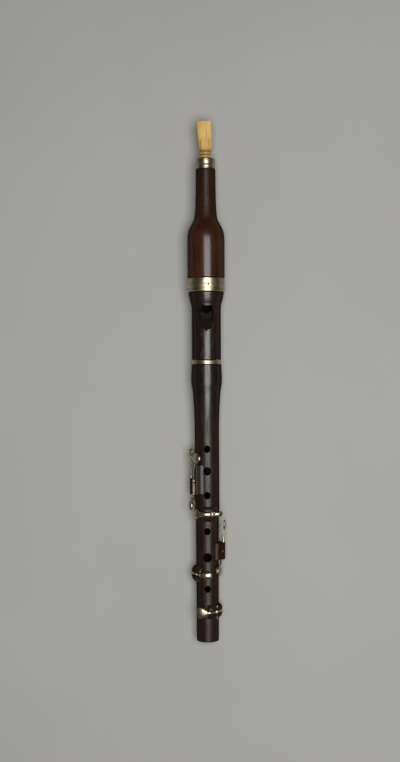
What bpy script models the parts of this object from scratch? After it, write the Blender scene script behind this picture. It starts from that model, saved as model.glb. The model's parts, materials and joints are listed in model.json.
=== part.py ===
# Flageolet with a windcap: a turned wooden tube in three joints, a bone beak,
# nickel silver ferrules and six sprung keys.
# It lies face up: beak towards +Y, finger holes up, its right side at +X.
# A station is a distance along the tube from the foot end. An azimuth is an
# angle in degrees round the tube from the finger holes, positive to the right.

import math

import bmesh
import bpy
from mathutils import Matrix, Vector

mm = 0.001

# Clearance between two solids that touch on the real object
GAP = 0.3 * mm

# Finger holes, from the foot upwards
FOOT_TO_HOLE_6 = 42.7 * mm
HOLE_6_TO_5 = 25.1 * mm
HOLE_5_TO_4 = 20.9 * mm
HOLE_4_TO_3 = 28.7 * mm
HOLE_3_TO_2 = 19.4 * mm
HOLE_2_TO_1 = 17.5 * mm
HOLE_1_TO_RIM = 70.5 * mm
HOLE_1_RADIUS = 2.6 * mm
HOLE_2_RADIUS = 3.0 * mm
HOLE_3_RADIUS = 2.6 * mm
HOLE_4_RADIUS = 2.5 * mm
HOLE_5_RADIUS = 3.4 * mm
HOLE_6_RADIUS = 2.5 * mm
THUMB_HOLE_ABOVE_HOLE_1 = 12.0 * mm
THUMB_HOLE_RADIUS = 2.3 * mm

# Lower tube
FOOT_RADIUS = 8.84 * mm
LOWER_RADIUS = 9.22 * mm
UPPER_RADIUS = 9.76 * mm
BULGE_RADIUS = 12.33 * mm
FOOT_BORE_RADIUS = 4.7 * mm
HEAD_BORE_RADIUS = 5.8 * mm
FOOT_ROUNDING = 0.7 * mm
RIM_FERRULE_LENGTH = 2.9 * mm
RIM_FERRULE_RADIUS = 11.95 * mm
RIM_FERRULE_WALL = 1.05 * mm

# Head joint with its window
HEAD_LENGTH = 53.9 * mm
HEAD_RADIUS = 11.64 * mm
FLARE_RADIUS = 14.1 * mm
WINDOW_TO_SHOULDER = 10.8 * mm
WINDOW_GAP = 4.5 * mm
WINDOW_WIDTH = 9.3 * mm
RAMP_LENGTH = 14.8 * mm
LABIUM_HEIGHT = 5.0 * mm
WINDWAY_WIDTH = 8.0 * mm
WINDWAY_ROOF = 5.7 * mm
WINDWAY_FLOOR = 4.3 * mm
TENON_LENGTH = 21.0 * mm
TENON_RADIUS = 7.7 * mm
UPPER_TENON_LENGTH = 17.7 * mm
UPPER_TENON_RADIUS = 10.7 * mm
SOCKET_PLAY = 0.6 * mm
CORK_THICKNESS = 0.9 * mm
CORK_MARGIN = 2.2 * mm

# Windcap and its ferrules
WINDCAP_LENGTH = 97.4 * mm
WINDCAP_RADIUS = 14.86 * mm
WIDE_FERRULE_LENGTH = 10.7 * mm
WIDE_FERRULE_RADIUS = 14.9 * mm
WIDE_FERRULE_WALL = 1.2 * mm
NECK_RADIUS = 7.88 * mm
NECK_BORE_RADIUS = 3.0 * mm
CHAMBER_LENGTH = 25.0 * mm
SPONGE_LENGTH = 18.0 * mm
SPONGE_PLAY = 0.5 * mm
TOP_FERRULE_LENGTH = 8.1 * mm
TOP_FERRULE_RADIUS = 7.68 * mm
TOP_FERRULE_WALL = 0.6 * mm
RIVET_RADIUS = 0.5 * mm

# Bone beak
STEM_LENGTH = 6.6 * mm
STEM_RADIUS = 4.12 * mm
BEAK_TENON_LENGTH = 13.5 * mm
LAPPING_THICKNESS = 0.6 * mm
BILL_LENGTH = 23.0 * mm
BILL_WIDTH = 12.6 * mm
BILL_THICKNESS = 5.2 * mm
BILL_OFFSET = 0.9 * mm
BEAK_BORE_RADIUS = 1.5 * mm
BEAK_SLOT_WIDTH = 7.0 * mm
BEAK_SLOT_HEIGHT = 1.3 * mm
BEAK_SLOT_DEPTH = 14.0 * mm

# Sizes that all the keys share
PIN_RADIUS = 0.5 * mm
HINGE_RADIUS = 1.35 * mm
LEVER_WIDTH = 2.4 * mm
LEVER_THICKNESS = 1.2 * mm
BAR_LIFT = 0.5 * mm
TOUCH_THICKNESS = 0.55 * mm
PAD_THICKNESS = 1.5 * mm
CUP_ROOF = 0.45 * mm
CUP_DOME = 1.0 * mm
CUP_WALL = 0.5 * mm
SPRING_THICKNESS = 0.35 * mm
SPRING_WIDTH = 1.4 * mm
KEY_HOLE_RADIUS = 2.2 * mm
SLOT_FLOOR = 0.2 * mm
FRONT_CHEEK_REACH = 12.7 * mm
BACK_CHEEK_REACH = 1.6 * mm

# Stations that follow from the sizes
hole_6 = FOOT_TO_HOLE_6
hole_5 = hole_6 + HOLE_6_TO_5
hole_4 = hole_5 + HOLE_5_TO_4
hole_3 = hole_4 + HOLE_4_TO_3
hole_2 = hole_3 + HOLE_3_TO_2
hole_1 = hole_2 + HOLE_2_TO_1
rim = hole_1 + HOLE_1_TO_RIM
head_base = rim + GAP
head_top = head_base + HEAD_LENGTH
cap_base = head_top + GAP
neck_top = cap_base + WINDCAP_LENGTH
stem_base = neck_top + TOP_FERRULE_LENGTH + 2 * GAP
bill_base = stem_base + STEM_LENGTH
tip = bill_base + BILL_LENGTH
middle = tip / 2
socket_radius = TENON_RADIUS + SOCKET_PLAY
cap_socket_radius = UPPER_TENON_RADIUS + SOCKET_PLAY

# Keys that lie along the tube: pivot and touch are measured from the tone hole
C_KEY = dict(
    name="c_key", hole=hole_2 + 10.0 * mm, to_pivot=-18.0 * mm, to_touch=-37.6 * mm,
    azimuth=-60, cup_azimuth=-50, touch_azimuth=-68, touch_facing=-60, cup_radius=4.3 * mm,
    pin_height=12.2 * mm, touch_height=14.4 * mm, touch_length=8.0 * mm, touch_width=5.2 * mm,
    pin_side=1, pin_out=5.4 * mm, pin_in=4.2 * mm, cup_reach=9.6 * mm, touch_reach=10.5 * mm,
    touch_taper=0.2, touch_crown=1.0 * mm)
B_FLAT_KEY = dict(
    name="b_flat_key", hole=hole_3 - 6.9 * mm, to_pivot=13.5 * mm, to_touch=40.7 * mm,
    azimuth=-93, cup_azimuth=-118, touch_azimuth=-80, touch_facing=-46, cup_radius=3.9 * mm,
    pin_height=12.3 * mm, touch_height=13.5 * mm, touch_length=6.4 * mm, touch_width=4.2 * mm,
    pin_side=-1, pin_out=5.4 * mm, pin_in=1.9 * mm, cup_reach=6.5 * mm, touch_reach=6.5 * mm,
    touch_taper=0.2, touch_crown=0.2 * mm)
LONG_F_KEY = dict(
    name="long_f_key", hole=hole_6 + 13.8 * mm, to_pivot=15.6 * mm, to_touch=36.3 * mm,
    azimuth=87, cup_azimuth=66, touch_azimuth=88, touch_facing=72, cup_radius=4.1 * mm,
    pin_height=12.4 * mm, touch_height=13.9 * mm, touch_length=8.0 * mm, touch_width=4.2 * mm,
    pin_side=-1, pin_out=3.4 * mm, pin_in=2.8 * mm, cup_reach=6.7 * mm, touch_reach=6.7 * mm,
    touch_taper=0.2, touch_crown=0.9 * mm)

# Keys that cross the tube and turn on a pin that runs along it
G_SHARP_KEY = dict(
    name="g_sharp_key", hole=hole_4 + 13.9 * mm, azimuth=20, cup_azimuth=-50, touch_azimuth=53,
    touch_facing=35, cup_radius=3.9 * mm, arm_width=4.4 * mm, touch_height=13.2 * mm,
    touch_length=4.6 * mm, touch_width=4.4 * mm, touch_taper=0.0, mount_length=12.0 * mm,
    mount_height=2.9 * mm, mount_from=-26, mount_to=46, pin_low=4.4 * mm, pin_high=4.4 * mm,
    touch_crown=0.4 * mm)
SHORT_F_KEY = dict(
    name="short_f_key", hole=hole_6 + 11.6 * mm, azimuth=-55, cup_azimuth=-133, touch_azimuth=-4,
    touch_facing=-6, cup_radius=4.1 * mm, arm_width=2.4 * mm, touch_height=12.9 * mm,
    touch_length=9.4 * mm, touch_width=5.8 * mm, touch_taper=0.6, mount_length=12.6 * mm,
    mount_height=3.9 * mm, mount_from=-102, mount_to=-21, pin_low=5.4 * mm, pin_high=5.4 * mm,
    touch_crown=1.4 * mm)
D_SHARP_KEY = dict(
    name="d_sharp_key", hole=hole_6 - 18.2 * mm, azimuth=43, cup_azimuth=127, touch_azimuth=-17,
    touch_facing=-12, cup_radius=4.1 * mm, arm_width=2.4 * mm, touch_height=12.9 * mm,
    touch_length=10.2 * mm, touch_width=8.8 * mm, touch_taper=0.7, mount_length=11.0 * mm,
    mount_height=3.0 * mm, mount_from=-3, mount_to=100, pin_low=6.3 * mm, pin_high=4.8 * mm,
    touch_crown=1.2 * mm)


for leftover in list(bpy.data.objects):
    bpy.data.objects.remove(leftover)


def material(name, colour, roughness, metallic=0.0):
    made = bpy.data.materials.new(name)
    made.use_nodes = True
    shader = made.node_tree.nodes["Principled BSDF"]
    shader.inputs["Base Color"].default_value = (*colour, 1.0)
    shader.inputs["Roughness"].default_value = roughness
    shader.inputs["Metallic"].default_value = metallic
    return made


dark_wood = material("dark_wood", (0.030, 0.014, 0.011), 0.3)
cap_wood = material("cap_wood", (0.065, 0.021, 0.012), 0.3)
nickel_silver = material("nickel_silver", (0.50, 0.43, 0.30), 0.25, 1.0)
steel = material("steel", (0.30, 0.29, 0.27), 0.35, 1.0)
bone = material("bone", (0.62, 0.44, 0.20), 0.45)
cork = material("cork", (0.36, 0.20, 0.10), 0.9)
leather = material("leather", (0.50, 0.38, 0.24), 0.8)
sponge_look = material("sponge", (0.62, 0.47, 0.22), 0.95)

# Everything hangs on this empty, which lays the tube on its ferrule and cups
tube = bpy.data.objects.new("resting_tube", None)
bpy.context.scene.collection.objects.link(tube)


def outward(azimuth):
    angle = math.radians(azimuth)
    return Vector((math.sin(angle), 0, math.cos(angle)))


def sideways(azimuth):
    angle = math.radians(azimuth)
    return Vector((math.cos(angle), 0, -math.sin(angle)))


def place(station, azimuth=0.0, radius=0.0):
    return Vector((0, station - middle, 0)) + radius * outward(azimuth)


def between(first, second, share):
    return first + (second - first) * share


def hang(item, parent):
    item.parent = parent
    if parent != tube:
        item.matrix_parent_inverse = Matrix.Translation(-parent.location)


def finish_mesh(name, bm, look, parent):
    bmesh.ops.remove_doubles(bm, verts=bm.verts, dist=1e-7)
    bmesh.ops.recalc_face_normals(bm, faces=bm.faces)
    mesh = bpy.data.meshes.new(name)
    bm.to_mesh(mesh)
    bm.free()
    mesh.shade_smooth()
    mesh.set_sharp_from_angle(angle=math.radians(35))
    if look:
        mesh.materials.append(look)
    made = bpy.data.objects.new(name, mesh)
    bpy.context.scene.collection.objects.link(made)
    hang(made, parent)
    return made


# A closed outline of (station, radius) points, turned about the tube's axis
def turned(name, outline, look=None, steps=32, parent=tube):
    bm = bmesh.new()
    points = [bm.verts.new(place(station, 0, radius)) for station, radius in outline]
    edges = [bm.edges.new(pair) for pair in zip(points, points[1:] + points[:1])]
    bmesh.ops.spin(bm, geom=points + edges, cent=(0, 0, 0), axis=(0, 1, 0), dvec=(0, 0, 0),
                   angle=math.tau, steps=steps, use_merge=True)
    return finish_mesh(name, bm, look, parent)


def ring_outline(low, high, inner, outer):
    return [(low, inner), (low, outer), (high, outer), (high, inner)]


def rod(name, start, end, radius, look=None, steps=12, parent=tube):
    bm = bmesh.new()
    along = end - start
    turn = along.to_track_quat("Z", "Y").to_matrix().to_4x4()
    bmesh.ops.create_cone(bm, cap_ends=True, segments=steps, radius1=radius, radius2=radius,
                          depth=along.length, matrix=Matrix.Translation((start + end) / 2) @ turn)
    return finish_mesh(name, bm, look, parent)


# A box between two stations, square to an azimuth
def radial_box(name, stations, azimuth, across, heights):
    bm = bmesh.new()
    corners = [bm.verts.new(place(station, azimuth, height) + side * sideways(azimuth))
               for station in stations for height in heights for side in across]
    bmesh.ops.convex_hull(bm, input=corners)
    return finish_mesh(name, bm, None, tube)


# An outline of (across, height) points about an azimuth, drawn out between stations
def prism(name, outline, azimuth, start, end):
    bm = bmesh.new()
    corners = [place(start, azimuth, height) + side * sideways(azimuth) for side, height in outline]
    face = bm.faces.new([bm.verts.new(corner) for corner in corners])
    drawn = bmesh.ops.extrude_face_region(bm, geom=[face])
    moved = [item for item in drawn["geom"] if isinstance(item, bmesh.types.BMVert)]
    bmesh.ops.translate(bm, verts=moved, vec=(0, end - start, 0))
    return finish_mesh(name, bm, None, tube)


# Rings of points bridged in order and closed at both ends
def loft(name, rings, look=None, parent=tube):
    bm = bmesh.new()
    rows = [[bm.verts.new(point) for point in ring] for ring in rings]
    for row, following in zip(rows, rows[1:]):
        for i in range(len(row)):
            j = (i + 1) % len(row)
            bm.faces.new((row[i], row[j], following[j], following[i]))
    bm.faces.new(rows[0])
    bm.faces.new(rows[-1])
    return finish_mesh(name, bm, look, parent)


# One Boolean with all the given shapes, which are left out of the model
def combine(target, shapes, operation):
    group = bpy.data.collections.new(f"{target.name} {operation.lower()}")
    bpy.context.scene.collection.children.link(group)
    for shape in shapes:
        shape.hide_render = True
        shape.display_type = "WIRE"
        bpy.context.scene.collection.objects.unlink(shape)
        group.objects.link(shape)
    step = target.modifiers.new(operation.lower(), "BOOLEAN")
    step.operation = operation
    step.operand_type = "COLLECTION"
    step.collection = group
    step.solver = "EXACT"


# A half-round bar's section: flat below, arched above
def arched(centre, up, across, half_width, bottom, side, top):
    ring = [centre - across * half_width + up * bottom, centre + across * half_width + up * bottom]
    for angle in (0, 40, 90, 140, 180):
        turn = math.radians(angle)
        height = side + (top - side) * math.sin(turn)
        ring.append(centre + across * half_width * math.cos(turn) + up * height)
    return ring


# Lower tube: depths below the rim and shares of the swell at its socket
SWELL = ((55.0, 0.0), (41.0, 0.14), (32.0, 0.34), (27.0, 0.48), (22.0, 0.74),
         (17.5, 0.98), (12.5, 1.0), (8.0, 0.89), (3.5, 0.84))


def tube_outline():
    points = [(FOOT_ROUNDING, FOOT_RADIUS), (hole_4 + 7 * mm, LOWER_RADIUS),
              (hole_4 + 18 * mm, UPPER_RADIUS)]
    for depth, share in SWELL:
        points.append((rim - depth * mm, between(UPPER_RADIUS, BULGE_RADIUS, share)))
    return points


def tube_radius(station):
    points = tube_outline()
    for (low, low_radius), (high, high_radius) in zip(points, points[1:]):
        if low <= station <= high:
            return between(low_radius, high_radius, (station - low) / (high - low))
    return FOOT_RADIUS


def make_body():
    ferrule_seat = RIM_FERRULE_RADIUS - RIM_FERRULE_WALL - GAP
    outline = [(0, FOOT_BORE_RADIUS), (0, FOOT_RADIUS - FOOT_ROUNDING),
               (FOOT_ROUNDING * 0.3, FOOT_RADIUS - FOOT_ROUNDING * 0.3)]
    outline += tube_outline()
    outline += [(rim - RIM_FERRULE_LENGTH - GAP, ferrule_seat + RIM_FERRULE_WALL),
                (rim - RIM_FERRULE_LENGTH - GAP, ferrule_seat), (rim, ferrule_seat),
                (rim, socket_radius), (rim - TENON_LENGTH - GAP, socket_radius),
                (rim - TENON_LENGTH - GAP, HEAD_BORE_RADIUS)]
    return turned("body", outline, dark_wood)


def make_rim_ferrule():
    inner = RIM_FERRULE_RADIUS - RIM_FERRULE_WALL
    low = rim - RIM_FERRULE_LENGTH
    edge = 0.4 * mm
    turned("rim_ferrule", [(low, inner), (low, RIM_FERRULE_RADIUS - edge), (low + edge, RIM_FERRULE_RADIUS),
                           (rim - edge, RIM_FERRULE_RADIUS), (rim, RIM_FERRULE_RADIUS - edge), (rim, inner)],
           nickel_silver)


def finger_hole_cuts():
    holes = ((hole_1, HOLE_1_RADIUS), (hole_2, HOLE_2_RADIUS), (hole_3, HOLE_3_RADIUS),
             (hole_4, HOLE_4_RADIUS), (hole_5, HOLE_5_RADIUS), (hole_6, HOLE_6_RADIUS))
    cuts = [rod("finger hole", place(station, 0, FOOT_BORE_RADIUS / 2),
                place(station, 0, 2 * FOOT_RADIUS), radius, None, 20) for station, radius in holes]
    thumb = hole_1 + THUMB_HOLE_ABOVE_HOLE_1
    cuts.append(rod("thumb hole", place(thumb, 180, FOOT_BORE_RADIUS / 2),
                    place(thumb, 180, 2 * FOOT_RADIUS), THUMB_HOLE_RADIUS, None, 20))
    return cuts


# A tenon's groove for its cork, as outline points going up
def cork_groove(low, high, tenon_radius, cork_outer):
    seat = cork_outer - CORK_THICKNESS - GAP
    return [(low, tenon_radius), (low, seat), (high, seat), (high, tenon_radius)]


# Flare under the windcap: depths below the shoulder and shares of its swell
FLARE = ((16.0, 0.0), (13.0, 0.02), (11.4, 0.05), (10.3, 0.09), (10.15, 0.17), (9.7, 0.2), (9.0, 0.28),
         (8.0, 0.4), (7.0, 0.505), (6.0, 0.605), (5.0, 0.7), (3.0, 0.86), (2.0, 0.94), (1.0, 1.0), (0.4, 1.0))


def make_head():
    low = head_base - TENON_LENGTH
    high = head_top + UPPER_TENON_LENGTH
    edge = 0.4 * mm
    outline = [(low, HEAD_BORE_RADIUS), (low, TENON_RADIUS)]
    outline += cork_groove(low + CORK_MARGIN, head_base - CORK_MARGIN, TENON_RADIUS, socket_radius - GAP)
    outline += [(head_base, TENON_RADIUS), (head_base, HEAD_RADIUS - edge), (head_base + edge, HEAD_RADIUS)]
    for depth, share in FLARE:
        outline.append((head_top - depth * mm, between(HEAD_RADIUS, FLARE_RADIUS, share)))
    outline += [(head_top, FLARE_RADIUS - edge), (head_top, UPPER_TENON_RADIUS)]
    outline += cork_groove(head_top + CORK_MARGIN, high - CORK_MARGIN, UPPER_TENON_RADIUS,
                           cap_socket_radius - GAP)
    outline += [(high, UPPER_TENON_RADIUS), (high, HEAD_BORE_RADIUS)]
    head = turned("head_joint", outline, dark_wood)

    window_top = head_top - WINDOW_TO_SHOULDER
    labium = window_top - WINDOW_GAP
    ramp_end = labium - RAMP_LENGTH
    flare_out = 2 * FLARE_RADIUS
    half = WINDOW_WIDTH / 2
    opening = radial_box("window", (labium, window_top), 0, (-half, half), (WINDWAY_FLOOR / 2, flare_out))
    slope = (HEAD_RADIUS - LABIUM_HEIGHT) / RAMP_LENGTH
    spare = 3 * mm
    bm = bmesh.new()
    lean = 1 + 0.15 * (flare_out - LABIUM_HEIGHT) / half
    for side in (-half, half):
        bm.verts.new((side, labium + mm - middle, LABIUM_HEIGHT - slope * mm))
        bm.verts.new((side, ramp_end - spare - middle, HEAD_RADIUS + slope * spare))
        bm.verts.new((side * lean, ramp_end - spare - middle, flare_out))
        bm.verts.new((side * lean, labium + mm - middle, flare_out))
    bmesh.ops.convex_hull(bm, input=bm.verts)
    ramp = finish_mesh("ramp", bm, None, tube)
    windway = radial_box("windway", (labium + mm, high + mm), 0,
                         (-WINDWAY_WIDTH / 2, WINDWAY_WIDTH / 2), (WINDWAY_FLOOR / 2, WINDWAY_ROOF))
    combine(head, [opening, ramp, windway], "DIFFERENCE")

    block = rod("fipple_block", place(window_top), place(high), HEAD_BORE_RADIUS - GAP, dark_wood, 24)
    flat = radial_box("windway floor", (window_top - mm, high + mm), 0,
                      (-HEAD_BORE_RADIUS, HEAD_BORE_RADIUS), (WINDWAY_FLOOR, HEAD_BORE_RADIUS * 2))
    combine(block, [flat], "DIFFERENCE")
    for name, start, end, outer in (("head_tenon_cork", low, head_base, socket_radius - GAP),
                                    ("windcap_cork", head_top, high, cap_socket_radius - GAP)):
        turned(name, ring_outline(start + CORK_MARGIN + GAP, end - CORK_MARGIN - GAP,
                                  outer - CORK_THICKNESS, outer), cork)
    return head


# Windcap shoulder: distances above its base and shares of the swell over the neck
SHOULDER = ((38.5, 1.0), (43.3, 0.99), (46.0, 0.955), (48.5, 0.87), (50.8, 0.74), (52.9, 0.58),
            (55.2, 0.40), (57.7, 0.22), (60.0, 0.155), (62.5, 0.115), (67.3, 0.063), (74.0, 0.04),
            (82.0, 0.017))
CHAMBER_ROOF = ((0.0, 1.0), (4.0, 0.88), (7.5, 0.56), (10.5, 0.2), (13.0, 0.0))


def make_windcap():
    ferrule_seat = WIDE_FERRULE_RADIUS - WIDE_FERRULE_WALL - GAP
    spigot = TOP_FERRULE_RADIUS - TOP_FERRULE_WALL - GAP
    spigot_top = neck_top + TOP_FERRULE_LENGTH - TOP_FERRULE_WALL
    beak_socket = STEM_RADIUS + GAP
    ferrule_top = cap_base + WIDE_FERRULE_LENGTH + GAP
    outline = [(cap_base, cap_socket_radius), (cap_base, ferrule_seat), (ferrule_top, ferrule_seat),
               (ferrule_top, WINDCAP_RADIUS - GAP), (ferrule_top + GAP, WINDCAP_RADIUS)]
    for distance, share in SHOULDER:
        outline.append((cap_base + distance * mm, between(NECK_RADIUS, WINDCAP_RADIUS, share)))
    outline += [(neck_top, NECK_RADIUS), (neck_top, spigot), (spigot_top, spigot),
                (spigot_top, beak_socket), (stem_base - BEAK_TENON_LENGTH - GAP, beak_socket),
                (stem_base - BEAK_TENON_LENGTH - GAP, NECK_BORE_RADIUS)]
    roof = cap_base + UPPER_TENON_LENGTH + CHAMBER_LENGTH
    for distance, share in reversed(CHAMBER_ROOF):
        outline.append((roof + distance * mm, between(NECK_BORE_RADIUS, cap_socket_radius, share)))
    windcap = turned("windcap", outline, cap_wood)

    sponge_base = head_top + UPPER_TENON_LENGTH + 2 * mm
    rod("sponge", place(sponge_base), place(sponge_base + SPONGE_LENGTH), cap_socket_radius - SPONGE_PLAY,
        sponge_look, 24)
    wide = make_wide_ferrule()
    rivet_station = cap_base + WIDE_FERRULE_LENGTH / 2
    start = place(rivet_station, 6, ferrule_seat - 1 * mm)
    end = place(rivet_station, 6, WIDE_FERRULE_RADIUS + GAP)
    rod("ferrule_rivet", start, end, RIVET_RADIUS, steel, 12)
    for target, name in ((windcap, "rivet hole"), (wide, "rivet hole in ferrule")):
        hole = rod(name, start - outward(6) * GAP, end + outward(6) * mm, RIVET_RADIUS + GAP)
        combine(target, [hole], "DIFFERENCE")
    make_top_ferrule(spigot_top)
    return windcap


def make_wide_ferrule():
    inner = WIDE_FERRULE_RADIUS - WIDE_FERRULE_WALL
    low = cap_base
    high = cap_base + WIDE_FERRULE_LENGTH
    groove = 0.35 * mm
    outline = [(low, inner), (low, WIDE_FERRULE_RADIUS - groove), (low + groove, WIDE_FERRULE_RADIUS)]
    for share in (0.28, 0.58, 0.84):
        station = between(low, high, share)
        outline += [(station - groove, WIDE_FERRULE_RADIUS), (station, WIDE_FERRULE_RADIUS - groove),
                    (station + groove, WIDE_FERRULE_RADIUS)]
    outline += [(high - groove, WIDE_FERRULE_RADIUS), (high, WIDE_FERRULE_RADIUS - groove), (high, inner)]
    return turned("windcap_ferrule", outline, nickel_silver)


def make_top_ferrule(spigot_top):
    inner = TOP_FERRULE_RADIUS - TOP_FERRULE_WALL
    low = neck_top + GAP
    high = neck_top + TOP_FERRULE_LENGTH + GAP
    groove = 0.4 * mm
    station = between(low, high, 0.4)
    hole = STEM_RADIUS + GAP
    turned("top_ferrule", [
        (low, inner), (low, TOP_FERRULE_RADIUS), (station - groove, TOP_FERRULE_RADIUS),
        (station, TOP_FERRULE_RADIUS - groove), (station + groove, TOP_FERRULE_RADIUS),
        (high - groove, TOP_FERRULE_RADIUS), (high, TOP_FERRULE_RADIUS - groove), (high, hole),
        (spigot_top + GAP, hole), (spigot_top + GAP, inner)], nickel_silver)


# A closed ring of the beak: round or flattened, with its middle set to one side
def beak_ring(station, half_width, half_height, power, shift):
    ring = []
    for i in range(24):
        angle = math.tau * i / 24
        cosine, sine = math.cos(angle), math.sin(angle)
        x = half_width * math.copysign(abs(cosine) ** (2 / power), cosine)
        z = half_height * math.copysign(abs(sine) ** (2 / power), sine)
        ring.append(Vector((x - shift, station - middle, z)))
    return ring


# Turned stem: shares of its length above its base, and of its radius
STEM_BEADS = ((0.0, 1.0), (0.06, 1.0), (0.12, 1.17), (0.29, 1.17), (0.35, 1.0), (0.45, 1.0), (0.51, 1.17),
              (0.67, 1.17), (0.73, 1.0), (0.95, 1.0))
# Bill: shares of its length, of its half width and of the way from thick to thin, and its power
BILL = ((0.0, 0.83, 0.0, 2.2), (0.05, 0.87, 0.05, 2.4), (0.16, 0.88, 0.15, 2.7), (0.34, 0.90, 0.35, 3.0),
        (0.62, 0.95, 0.65, 3.4), (0.84, 0.985, 0.85, 3.6), (0.975, 1.0, 0.97, 3.6), (1.0, 0.95, 1.15, 3.0))


def make_beak():
    core = STEM_RADIUS - LAPPING_THICKNESS - GAP
    low = stem_base - BEAK_TENON_LENGTH
    lap_low, lap_high = low + 1 * mm, stem_base - 1 * mm
    tenon = ((low, STEM_RADIUS), (lap_low, STEM_RADIUS), (lap_low, core), (lap_high, core),
             (lap_high, STEM_RADIUS))
    rings = [beak_ring(station, radius, radius, 2, 0) for station, radius in tenon]
    for distance, share in STEM_BEADS:
        radius = STEM_RADIUS * share
        rings.append(beak_ring(stem_base + distance * STEM_LENGTH, radius, radius, 2, 0))
    thick = STEM_RADIUS + 0.2 * mm
    for along, wide, thin, power in BILL:
        rings.append(beak_ring(bill_base + BILL_LENGTH * along, BILL_WIDTH / 2 * wide,
                               between(thick, BILL_THICKNESS / 2, thin), power, BILL_OFFSET * along))
    beak = loft("beak", rings, bone)
    bore = rod("beak bore", place(low - mm), place(tip - BEAK_SLOT_DEPTH + mm), BEAK_BORE_RADIUS, None, 16)
    across = (-BEAK_SLOT_WIDTH / 2 - BILL_OFFSET, BEAK_SLOT_WIDTH / 2 - BILL_OFFSET)
    slot = radial_box("beak slot", (tip - BEAK_SLOT_DEPTH, tip + mm), 0, across,
                      (-BEAK_SLOT_HEIGHT / 2, BEAK_SLOT_HEIGHT / 2))
    combine(beak, [bore, slot], "DIFFERENCE")
    turned("beak_lapping", ring_outline(lap_low + GAP, lap_high - GAP, core + GAP, STEM_RADIUS), cork, 24)
    return beak


# The flat that a pad closes on, and the pad and the cup above it
def pad_radius(key):
    return key["cup_radius"] - CUP_WALL - GAP


def seat_height(key):
    return math.sqrt(tube_radius(key["hole"]) ** 2 - (pad_radius(key) + GAP) ** 2)


def cup_roof(key):
    return seat_height(key) + 2 * GAP + PAD_THICKNESS


def cup_rings(key, along, across, way):
    centre = place(key["hole"])
    up = outward(key["cup_azimuth"])
    roof = cup_roof(key)
    rings = []
    for share in (-0.98, -0.85, -0.6, -0.25, 0.25, 0.6, 0.85, 0.98):
        half_width = key["cup_radius"] * math.sqrt(1 - share ** 2)
        dome = roof + CUP_ROOF + CUP_DOME * (1 - share ** 2)
        rings.append(arched(centre + along * share * key["cup_radius"] * way, up, across, half_width,
                            roof - PAD_THICKNESS / 2, roof + CUP_ROOF / 2, dome))
    return rings


# The plate that the finger presses: an oval or a drop that widens away from its bar
def touch_rings(key, centre, along, across, way):
    shares = (-0.96, -0.8, -0.45, -0.1, 0.2, 0.5, 0.8, 0.96)
    widths = [math.sqrt(1 - share ** 2) * (1 - key["touch_taper"] * (1 - share) / 2) for share in shares]
    rings = []
    for share, width in zip(shares, widths):
        half = key["touch_width"] / 2 * width / max(widths)
        if share < 0:
            half = max(half, LEVER_WIDTH / 2)
        middle_line = centre + along * share * key["touch_length"] / 2 * way
        crown = key["touch_crown"] * (1 - share ** 2) + 0.2 * mm
        facing = outward(key["touch_facing"])
        rings.append(arched(middle_line, facing, across, half, -TOUCH_THICKNESS, 0, crown))
    return rings


# The bar's sections round its hinge pin, as half-lengths and heights of a circle
def hinge_rings(pin_height, section_at, width=LEVER_WIDTH):
    rings = []
    for turn in (-75, -40, 0, 40, 75):
        angle = math.radians(turn)
        half = HINGE_RADIUS * max(math.cos(angle), 0.45)
        centre, azimuth, across = section_at(HINGE_RADIUS * math.sin(angle))
        rings.append(arched(centre, outward(azimuth), across, width / 2, pin_height - half,
                            pin_height + half * 0.4, pin_height + half))
    return rings


# The bar's sections between two ends, each (position, azimuth, height of its middle)
def bar_rings(start, end, shares, section_at, width=LEVER_WIDTH):
    rings = []
    for share in shares:
        position, azimuth, height = (between(a, b, share) for a, b in zip(start, end))
        centre, across = section_at(position, azimuth)
        rings.append(arched(centre, outward(azimuth), across, width / 2, height - LEVER_THICKNESS / 2,
                            height, height + LEVER_THICKNESS / 2))
    return rings


# A leaf spring with its riveted end under the lever and its free end on the wood
def leaf(name, sections, parent):
    rings = []
    for centre, azimuth, across, height in sections:
        low = centre + outward(azimuth) * height
        high = low + outward(azimuth) * SPRING_THICKNESS
        half = across * SPRING_WIDTH / 2
        rings.append([low - half, low + half, high + half, high - half])
    loft(name, rings, steel, parent)


def hinge_empty(name, location):
    made = bpy.data.objects.new(name, None)
    bpy.context.scene.collection.objects.link(made)
    made.location = location
    made.parent = tube
    return made


# Pad under the cup, the recess that holds it, its flat seat and its tone hole
def add_pad(key, hinge):
    azimuth = key["cup_azimuth"]
    seat = seat_height(key)
    station = key["hole"]
    rod(key["name"].replace("key", "pad"), place(station, azimuth, seat + GAP),
        place(station, azimuth, seat + GAP + PAD_THICKNESS), pad_radius(key), leather, 20, hinge)
    recess = rod("pad recess", place(station, azimuth, seat), place(station, azimuth, cup_roof(key)),
                 pad_radius(key) + GAP, None, 20, hinge)
    flat = rod("pad seat", place(station, azimuth, seat), place(station, azimuth, seat + 4 * mm),
               key["cup_radius"] + 2 * GAP, None, 24)
    tone_hole = rod("key tone hole", place(station, azimuth, FOOT_BORE_RADIUS / 2),
                    place(station, azimuth, seat + mm), KEY_HOLE_RADIUS, None, 16)
    return recess, [flat, tone_hole]


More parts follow.
